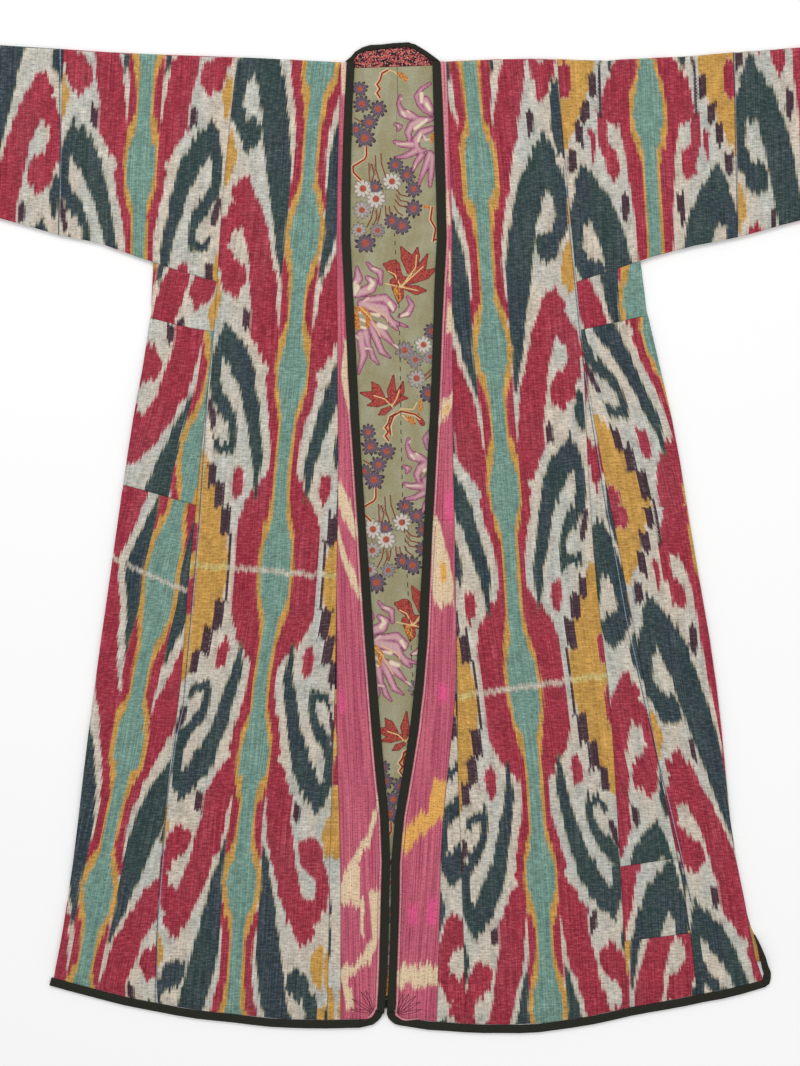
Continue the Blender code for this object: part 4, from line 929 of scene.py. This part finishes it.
def make_print():
    """The printed cotton: crisp flat colours with darker outlines, over a fine even weave."""
    n = Nodes("printed_cotton", 0.8)
    petal, light, leaf = n.layer("print_a")
    gold, twig, twig_gap = n.layer("print_b")
    vein, vein_gap, far = n.layer("print_c")
    grass, grass_gap, y = n.layer("print_d")
    stitch, pleat, x = n.layer("print_e")
    u, v, pale = n.layer("aster")
    place = n.join(x, y, 0.0)
    tone = n.grain(place, 0.05, 0.03, 2.0)
    brushed = n.grain(place, 0.5, 0.5, 2.0)
    weave = n.grain(place, 1.6, 1.6, 1.0)

    def line(offset, gap, half_width, reach=1.3):
        return n.math(
            "MULTIPLY", n.within(gap, reach, reach + 0.3, 1.0, 0.0),
            n.within(n.math("ABSOLUTE", offset), half_width - 0.2, half_width + 0.25, 1.0, 0.0))

    def filled(field):
        return n.within(field, -0.25, 0.25, 1.0, 0.0)

    colour = n.mix(n.within(tone, 0.4, 0.62), OLIVE, PALE_OLIVE)
    uneven = n.grain(place, 0.16, 0.16, 1.0)
    turn = n.math("MULTIPLY_ADD", n.math("ARCTAN2", v, u), 5.0, n.math("MULTIPLY", uneven, 2.4))
    lobe = n.math("POWER", n.math("ABSOLUTE", n.math("COSINE", turn)), 0.45)
    tip = n.math("MULTIPLY_ADD", lobe, n.math("MULTIPLY_ADD", uneven, 0.5, 0.36), 0.36)
    depth = n.math("SUBTRACT", tip, far)
    colour = n.mix(n.within(far, 0.55, 0.75, 0.6, 0.0), colour, ASTER_SHADE)
    dark = n.mix(n.within(depth, 0.1, 0.34), ASTER_LINE, ASTER_MAUVE)
    white = n.mix(n.within(depth, 0.06, 0.2), ASTER_GREY, ASTER_WHITE)
    colour = n.mix(n.within(depth, 0.0, 0.1), colour, n.mix(pale, dark, white))
    heart = n.mix(brushed, HEART_RED, HEART_ORANGE)
    colour = n.mix(n.within(far, 0.26, 0.36, 1.0, 0.0), colour, heart)
    colour = n.mix(line(grass, grass_gap, 0.62), colour, GRASS_BROWN)
    petals = n.mix(n.within(brushed, 0.35, 0.6), PETAL_DEEP, PETAL_PINK)
    petals = n.mix(n.within(petal, -0.9, -0.4), petals, PETAL_LINE)
    paler = n.within(n.math("MULTIPLY_ADD", brushed, 5.0, petal), -0.6, 0.9, 0.8, 0.0)
    colour = n.mix(filled(petal), colour, n.mix(paler, petals, PETAL_PALE))
    colour = n.mix(filled(light), colour, n.mix(n.within(light, -1.2, -0.2), PETAL_CREAM, PETAL_ROSE))
    leaves = n.mix(n.within(brushed, 0.35, 0.65), LEAF_RED, LEAF_ORANGE)
    colour = n.mix(filled(leaf), colour, n.mix(n.within(leaf, -0.9, -0.4), leaves, LEAF_LINE))
    colour = n.mix(filled(gold), colour, n.mix(n.within(brushed, 0.35, 0.65), GOLD_DEEP, GOLD_PALE))
    colour = n.mix(line(vein, vein_gap, 0.5), colour, VEIN_CREAM)
    colour = n.mix(line(n.math("SUBTRACT", twig, 1.3), twig_gap, 0.6, 2.6), colour, TWIG_LIGHT)
    colour = n.mix(line(n.math("ADD", twig, 1.1), twig_gap, 0.5, 2.2), colour, TWIG_ORANGE)
    colour = n.mix(line(twig, twig_gap, 0.8, 1.5), colour, TWIG_RED)
    dashes = n.within(n.math("SINE", n.math("MULTIPLY", y, 0.7)), -0.1, 0.1)
    below = n.math("MULTIPLY", dashes, n.within(y, 298.0, 300.0, 1.0, 0.0))
    colour = n.mix(n.math("MULTIPLY", line(stitch, 0.0, 0.42), below), colour, STITCH_DARK)
    crease = n.within(y, 376.0, 452.0, 0.0, 0.75)
    colour = n.mix(n.math("MULTIPLY", line(pleat, 0.0, 0.4), crease), colour, PLEAT_DARK)
    worn = n.within(n.blend((weave, 0.5), (brushed, 0.5)), 0.3, 0.7, 0.8, 1.18)
    return n.finish(n.shade(colour, worn), weave, 0.08)


grid, upper, gap = fine_copy("lining_back", LINING_FINE, 0)
relax_form(upper, gap, 0.2, 2.0)
paint_print(add_shell(
    "lining_back", grid, make_print()))

# Neck facing. A curved strip of brick-pink cotton inside the back of the neck, printed all over
# with small dark specks and tiny pale flowers.
FACING_RED, FACING_PINK = linear(146, 58, 62), linear(200, 106, 96)
SPECK_DARK, FLOWER_PINK = linear(48, 34, 38), linear(222, 176, 168)
n = Nodes("speckled_cotton", 0.8)
place = n.vector("MULTIPLY", n.add("TexCoord").outputs["Object"], (1 / MM, 1 / MM, 0.0))
speck = n.dots(place, 0.36, 1.0)
flower = n.dots(place, 0.24, 1.0)
drift = n.noise(place, 0.16)
colour = n.mix(n.within(drift, 0.4, 0.6), FACING_RED, FACING_PINK)
reach = n.within(n.grain(place, 0.09, 0.24, 2.0), 0.35, 0.6, 0.1, 0.62)
colour = n.mix(n.within(n.math("SUBTRACT", speck, reach), -0.08, 0.06, 1.0, 0.0), colour, SPECK_DARK)
colour = n.mix(n.within(flower, 0.1, 0.2, 0.9, 0.0), colour, FLOWER_PINK)
grid, upper, gap = fine_copy("facing_neck", LINING_FINE, 0)
relax_form(upper, gap, 0.15, 1.5)
add_shell(
    "facing_neck", grid, n.finish(colour, speck, 0.05))

# Facing bands. Strips of rose and cream ikat down the edges of both fronts, turned under the
# braid. The right one is pieced from two lengths.
BAND_CUTS = {
    "band_left": (0.055, 1.19, 0.0356), "band_right_upper": (0.038, 0.572, 0.00855),
    "band_right_lower": (0.055, 0.626, 0.0285)}
BAND_SEAM = 12.5        # height of the right band's cross seam, in bundle widths
SEAM_CLEAR = 5          # so near to the seam, the fold beside the braid doesn't show
NO_EDGE = 9             # farther from an edge than that fold
# The bands' warp leans with the fronts' edges: height and x, for the left (1) and right (-1).
BAND_WARPS = {
    1: ((-476, -32), (-266, -37), (-66, -48), (134, -53), (474, -57)),
    -1: ((-476, 18), (-366, 25), (-166, 37), (-66, 41), (34, 43), (234, 49), (474, 47))}
# Strokes: each is a run of points (x, y, half width).
PALE_PARTS = (
    ((-55, 473.5, 4), (-55.5, 438.5, 2.4)), ((-53.5, 188.5, 1), (-55.5, 157, 3.2), (-50.5, 122, 1.5)),
    ((-61.5, 52, 1), (-55.5, 28.5, 6), (-45.5, 2, 4)),
    ((-61.5, 3.5, 1), (-57.5, -18, 2.6), (-47.5, -44.5, 4), (-37.5, -69.5, 1)),
    ((-20.5, -266.5, 1.2), (-30.5, -303, 3), (-45.5, -329.5, 4)),
    ((-47, -336.5, 7), (-49.5, -351.5, 9.5), (-49.5, -366.5, 9.5)),
    ((-25, -361.5, 6), (-24, -403, 3.4), (-33.5, -424.5, 4.5), (-49.5, -436.5, 5)),
    ((-37.5, -366.5, 2), (-37.5, -399.5, 2)), ((-55, -436.5, 5), (-50, -471.5, 4)),
    ((46.5, 338.5, 1.4), (48.5, 308.5, 2)), ((49.5, 277, 1), (49, 250.5, 1.4)),
    ((48.5, 237, 0.8), (49.5, 212, 3.2), (50.5, 202, 4.5)),
    ((51.5, 137, 3), (47, 127, 5), (39.5, 110.5, 3.5)), ((35.5, 12, 4), (37, -0.5, 5)),
    ((36, 3.5, 4.5), (41, -29.5, 9), (42.5, -51.5, 11), (42.5, -63, 10)),
    ((4, -443, 11), (37.5, -441.5, 10)))
ROSE_PARTS = (
    ((-28.5, -319.5, 8), (-28.5, -351.5, 7)), ((-33, -351.5, 0.5), (-33.5, -379.5, 0.6)),
    ((-33, -381.5, 3.4), (-33.5, -396.5, 3)), ((-49.5, -376.5, 7), (-49.5, -423, 8.5)),
    ((-48, -444.5, 3), (-49.5, -451.5, 2.6)), ((-59.5, -459.5, 2.5), (-57.5, -479.5, 3)),
    ((44.5, 11, 4), (48, 0.5, 4)), ((47, 3.5, 4.2), (50.5, -21.5, 1.5)),
    ((8, -451.5, 3), (14, -469.5, 4)))
ORANGE_PARTS = (
    ((39.5, -252, 6.5), (35.5, -278, 8), (14, -298, 8.5), (2.5, -308, 9)),
    ((43, -31.5, 3), (43.5, -46.5, 3)), ((48, 128.5, 1), (44.5, 117, 1)))
HOT_PARTS = (
    ((-59.5, -159.5, 2.6), (-57, -176.5, 3)), ((49, 37, 3.4), (49, 15.5, 3.6)),
    ((42.5, -153, 4.4), (43, -164.5, 4.4)), ((12.5, -374.5, 4), (12.5, -386.5, 4)),
    ((32.5, -368, 4.6), (31.5, -386.5, 4.6)))


def paint_band(mesh, way, edge):
    """Stores each vertex's place on the warp, its pattern fields and how they change along it."""
    x, y = places(mesh)
    side = (x - np.interp(y, *zip(*BAND_WARPS[way]))) * way
    if way < 0:
        edge = np.where(np.abs(y - BAND_SEAM) < SEAM_CLEAR, NO_EDGE, edge)

    def fields(step_side, step_length):
        spot = x + step_side, y + step_length
        pale, rose, orange, hot = (
            stroke_field(*spot, rows) for rows in (PALE_PARTS, ROSE_PARTS, ORANGE_PARTS, HOT_PARTS))
        return np.array((np.maximum(pale, -rose), orange, hot))

    store(mesh, loom=(side, y, edge), tied=fields(0, 0), tied_up=slopes(fields, 0, STEP_UP))


BAND_THREAD = 0.55      # width of the threads that stray by themselves
BAND_TIED = 1.7         # width of the bundles that are tied and dyed together
ROSE, LIGHT_ROSE, WORN_ROSE = linear(168, 58, 92), linear(196, 86, 112), linear(208, 122, 134)
CREAM, BAND_ORANGE, HOT_PINK = linear(226, 200, 166), linear(230, 172, 92), linear(238, 88, 148)
# The fold beside the braid gets a painted shade, and the rolled edge beyond it a painted highlight.
PAINTED_FOLD_SHADE, ROLLED_EDGE_HIGHLIGHT, QUILT_DARK = linear(96, 34, 54), linear(226, 176, 176), linear(70, 34, 44)
# Each dye's colour, the softness of its edge and its strength.
BAND_DYES = ((CREAM, 0.4, 1.0), (BAND_ORANGE, 0.4, 1.0), (HOT_PINK, 2.2, 0.7))


def make_band():
    """Rose and cream ikat with narrow bundles, painted shade at the stitched fold by the braid, and a
    painted highlight on its roll.
    """
    n = Nodes("rose_ikat", 0.62)
    side, warp, edge = n.layer("loom")
    bundle = n.math("FLOOR", n.math("DIVIDE", side, BAND_TIED))
    slip = n.stray(bundle, 7.3, warp, 0.02, 2.0)
    thread = n.math("FLOOR", n.math("DIVIDE", side, BAND_THREAD))
    stray = n.stray(thread, 5.1, warp, 0.05, 7.0)
    shift = n.math(
        "ADD", n.within(slip, 0.25, 0.75, -5.0, 5.0), n.within(stray, 0.2, 0.8, -3.0, 3.0))
    up = n.attribute("tied_up")
    fields = n.split(n.vector("MULTIPLY_ADD", up, n.join(shift, shift, shift), n.attribute("tied")))
    whole = n.join(side, warp, 0.0)
    streak = n.grain(whole, 0.8, 0.008, 3.0)
    broad = n.grain(whole, 0.16, 0.012, 1.0)
    fleck = n.grain(whole, 1.9, 1.1, 1.0)
    cross = n.grain(whole, 0.16, 1.1, 1.0)
    colour = n.mix(n.within(broad, 0.38, 0.62), ROSE, LIGHT_ROSE)
    colour = n.mix(n.within(streak, 0.35, 0.7, 0.0, 0.8), colour, WORN_ROSE)
    steepness = n.split(n.vector("ABSOLUTE", up))
    for field, slope, (tint, soft, strength) in zip(fields, steepness, BAND_DYES):
        reach = n.math("DIVIDE", field, n.math("MULTIPLY_ADD", slope, 1.6, soft))
        colour = n.mix(n.within(reach, -1.0, 1.0, strength, 0.0), colour, tint)
    braid_side = n.within(side, -0.5, 0.5)
    # Painted shade along the fold beside the braid, and a painted highlight on the rolled edge between
    # it and the braid.
    fold = n.within(n.math("ABSOLUTE", n.math("SUBTRACT", edge, 3.4)), 0.25, 0.6, 0.75, 0.0)
    colour = n.mix(n.math("MULTIPLY", fold, braid_side), colour, PAINTED_FOLD_SHADE)
    rolled_highlight = n.within(n.math("ABSOLUTE", n.math("SUBTRACT", edge, 1.7)), 0.5, 1.1, 0.6, 0.0)
    colour = n.mix(n.math("MULTIPLY", rolled_highlight, braid_side), colour, ROLLED_EDGE_HIGHLIGHT)
    quilting = n.dots(n.vector("MULTIPLY", whole, (0.22, 0.13, 1.0)), 1.0, 0.55)
    colour = n.mix(n.within(quilting, 0.07, 0.11, 0.6, 0.0), colour, QUILT_DARK)
    worn = n.within(n.blend((fleck, 0.4), (cross, 0.35), (streak, 0.25)), 0.36, 0.64, 0.6, 1.38)
    return n.finish(n.shade(colour, worn), n.blend((fleck, 0.8), (cross, 0.5)), 0.16)


ROSE_IKAT = make_band()
for name, cut in BAND_CUTS.items():
    grid, upper, gap = fine_copy(name, FRONT, BEHIND)
    relax_form(upper, gap, *SEAM)
    ease_edge(name, grid)
    grid.verts.index_update()
    edge = np.zeros(len(grid.verts))
    edge[[v.index for v in upper]] = gap
    mesh = add_shell(name, grid, ROSE_IKAT)
    paint_band(mesh, 1 if "left" in name else -1, edge)

# Braid. A close black braid of cotton thread covers and binds the raw edges: down both fronts,
# round the hems with the corner at the side vent, and round the neck. It is sewn on by hand.
BRAID_CUTS = {
    "braid_front_left": (0.014, 1.195, 0.0159), "braid_front_right": (0.014, 1.195, 0.0164),
    "braid_hem_left": (0.0125, 0.43, 0.0053), "braid_hem_right": (0.0125, 0.6, 0.0067),
    "braid_hem_back": (0.0125, 0.87, 0.0107), "braid_neck": (0.01, 0.13, 0.0012)}
BRAID_BLACK, BRAID_WORN = linear(30, 30, 26), linear(54, 54, 46)
BRAID_ROLL = (0.9, 2.2)     # how deep the braid's edge dips, and how far its dip reaches
n = Nodes("braid", 0.75)
place = n.add("NewGeometry").outputs["Position"]
colour = n.mix(n.noise(place, 700.0), BRAID_BLACK, BRAID_WORN)
BRAID = n.finish(colour, n.noise(place, 1400.0), 0.3)
for name, cut in BRAID_CUTS.items():
    grid, upper, gap = fine_copy(name, FRONT, BEHIND)
    relax_form(upper, gap, *BRAID_ROLL)
    add_shell(name, grid, BRAID)

# Embroidered fans. A few narrow loops of dark thread are stitched on the bands beside the hem,
# as a finishing mark at the foot of each front.
FAN_THREAD = 0.32       # radius of the thread
FAN_LOOP = 1.35         # half width of a loop
FAN_STEPS = 32          # steps round a loop
FAN_PACE = 0.9          # below 1, the loop's steps are longer near its foot
# Each fan's band, the foot of its loops and their tips, in bundle widths.
FANS = (
    ("band_left", (-26, -478.5), ((-34, -456), (-39, -457.5), (-48, -465), (-49, -475.5))),
    ("band_right_lower", (-3.5, -481),
     ((3, -460), (9, -459.5), (16, -461.5), (20, -468), (21.5, -475.5))))
n = Nodes("dark_thread", 0.7)
twist = n.noise(n.add("TexCoord").outputs["Object"], 900.0)
DARK_THREAD = n.finish(n.mix(twist, linear(48, 26, 34), linear(84, 44, 54)), twist, 0.05)
for name, (foot_x, foot_y), tips in FANS:
    cloth = bpy.data.objects[name + "_cloth"].data
    surface = bvhtree.BVHTree.FromPolygons(
        [v.co / MM for v in cloth.vertices], [list(f.vertices) for f in cloth.polygons])
    grid = bmesh.new()
    for tip_x, tip_y in tips:
        run = Vector((tip_x - foot_x, tip_y - foot_y))
        out = run.orthogonal().normalized() * FAN_LOOP
        path = []
        for step in range(1, FAN_STEPS):
            t = step / FAN_STEPS
            spot = (Vector((foot_x, foot_y)) + run * (1 - abs(2 * t - 1)) ** FAN_PACE
                    + out * math.sin(t * math.tau)) * BUNDLE
            land = surface.ray_cast(Vector((*spot, FAR)), Vector((0, 0, -1)))[0]
            if land:
                path.append(land)
        rings = []
        for a, b in zip(path, path[1:]):
            side = (b - a).cross(Vector((0, 0, 1))).normalized() * FAN_THREAD
            lift = Vector((0, 0, FAN_THREAD))
            rings.append([grid.verts.new((a + way) * MM) for way in (side, lift, -side, -lift)])
        for one, two in zip(rings, rings[1:]):
            for k in range(4):
                grid.faces.new((one[k - 1], one[k], two[k], two[k - 1]))
        for ring in (rings[0], rings[-1][::-1]):
            grid.faces.new(ring)
    bmesh.ops.recalc_face_normals(grid, faces=grid.faces)
    mesh = bpy.data.meshes.new(name + "_fan")
    grid.to_mesh(mesh)
    grid.free()
    mesh.shade_smooth()
    mesh.materials.append(DARK_THREAD)
    fan = bpy.data.objects.new(name + "_fan", mesh)
    bpy.context.scene.collection.objects.link(fan)
    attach(fan, "root")

# Floor, light and camera. The robe lies on a plain pale floor under soft light from two large
# lamps and an even sky, and the camera looks straight down on it.
FLOOR_HALF = 6.0        # in metres, as the rest of this section is
FLOOR_DROP = 0.0005     # keeps the floor just clear of the cloth
FLOOR_GLOW = 0.09       # the floor's own faint light
SKY = 0.62              # the sky's strength
LAMPS = (               # name, place, size and power
    ("key", (-0.5, 2.2, 2.6), 1.6, 38.0), ("fill", (1.6, -1.2, 2.8), 2.2, 10.0))
FRAME_WIDTH = 1.0       # across the camera's view
LENS = 100.0
SENSOR = 36.0
corners = [(x * FLOOR_HALF, y * FLOOR_HALF, 0) for x, y in ((-1, -1), (1, -1), (1, 1), (-1, 1))]
floor_mesh = bpy.data.meshes.new("floor")
floor_mesh.from_pydata(corners, [], [(0, 1, 2, 3)])
floor = bpy.data.objects.new("floor", floor_mesh)
floor.location.z = -FLOOR_DROP
bpy.context.scene.collection.objects.link(floor)
n = Nodes("floor", 0.9)
n.surface.inputs["Base Color"].default_value = (0.98, 0.98, 0.98, 1.0)
n.surface.inputs["Emission Color"].default_value = (1.0, 1.0, 1.0, 1.0)
n.surface.inputs["Emission Strength"].default_value = FLOOR_GLOW
floor_mesh.materials.append(n.material)

world = bpy.data.worlds.new("studio")
bpy.context.scene.world = world
world.use_nodes = True
sky = world.node_tree.nodes["Background"]
sky.inputs[0].default_value = (1.0, 1.0, 1.0, 1.0)
sky.inputs[1].default_value = SKY
for name, place, size, power in LAMPS:
    lamp = bpy.data.lights.new(name, "AREA")
    lamp.size = size
    lamp.energy = power
    light = bpy.data.objects.new(name, lamp)
    light.location = place
    light.rotation_euler = Vector(place).to_track_quat("Z", "Y").to_euler()
    bpy.context.scene.collection.objects.link(light)

eye = bpy.data.cameras.new("camera")
eye.lens = LENS
eye.sensor_fit = "HORIZONTAL"
eye.sensor_width = SENSOR
camera = bpy.data.objects.new("camera", eye)
camera.location = (0.0, 0.0, FRAME_WIDTH * LENS / SENSOR)
bpy.context.scene.collection.objects.link(camera)
bpy.context.scene.camera = camera
bpy.context.scene.view_settings.view_transform = "Standard"
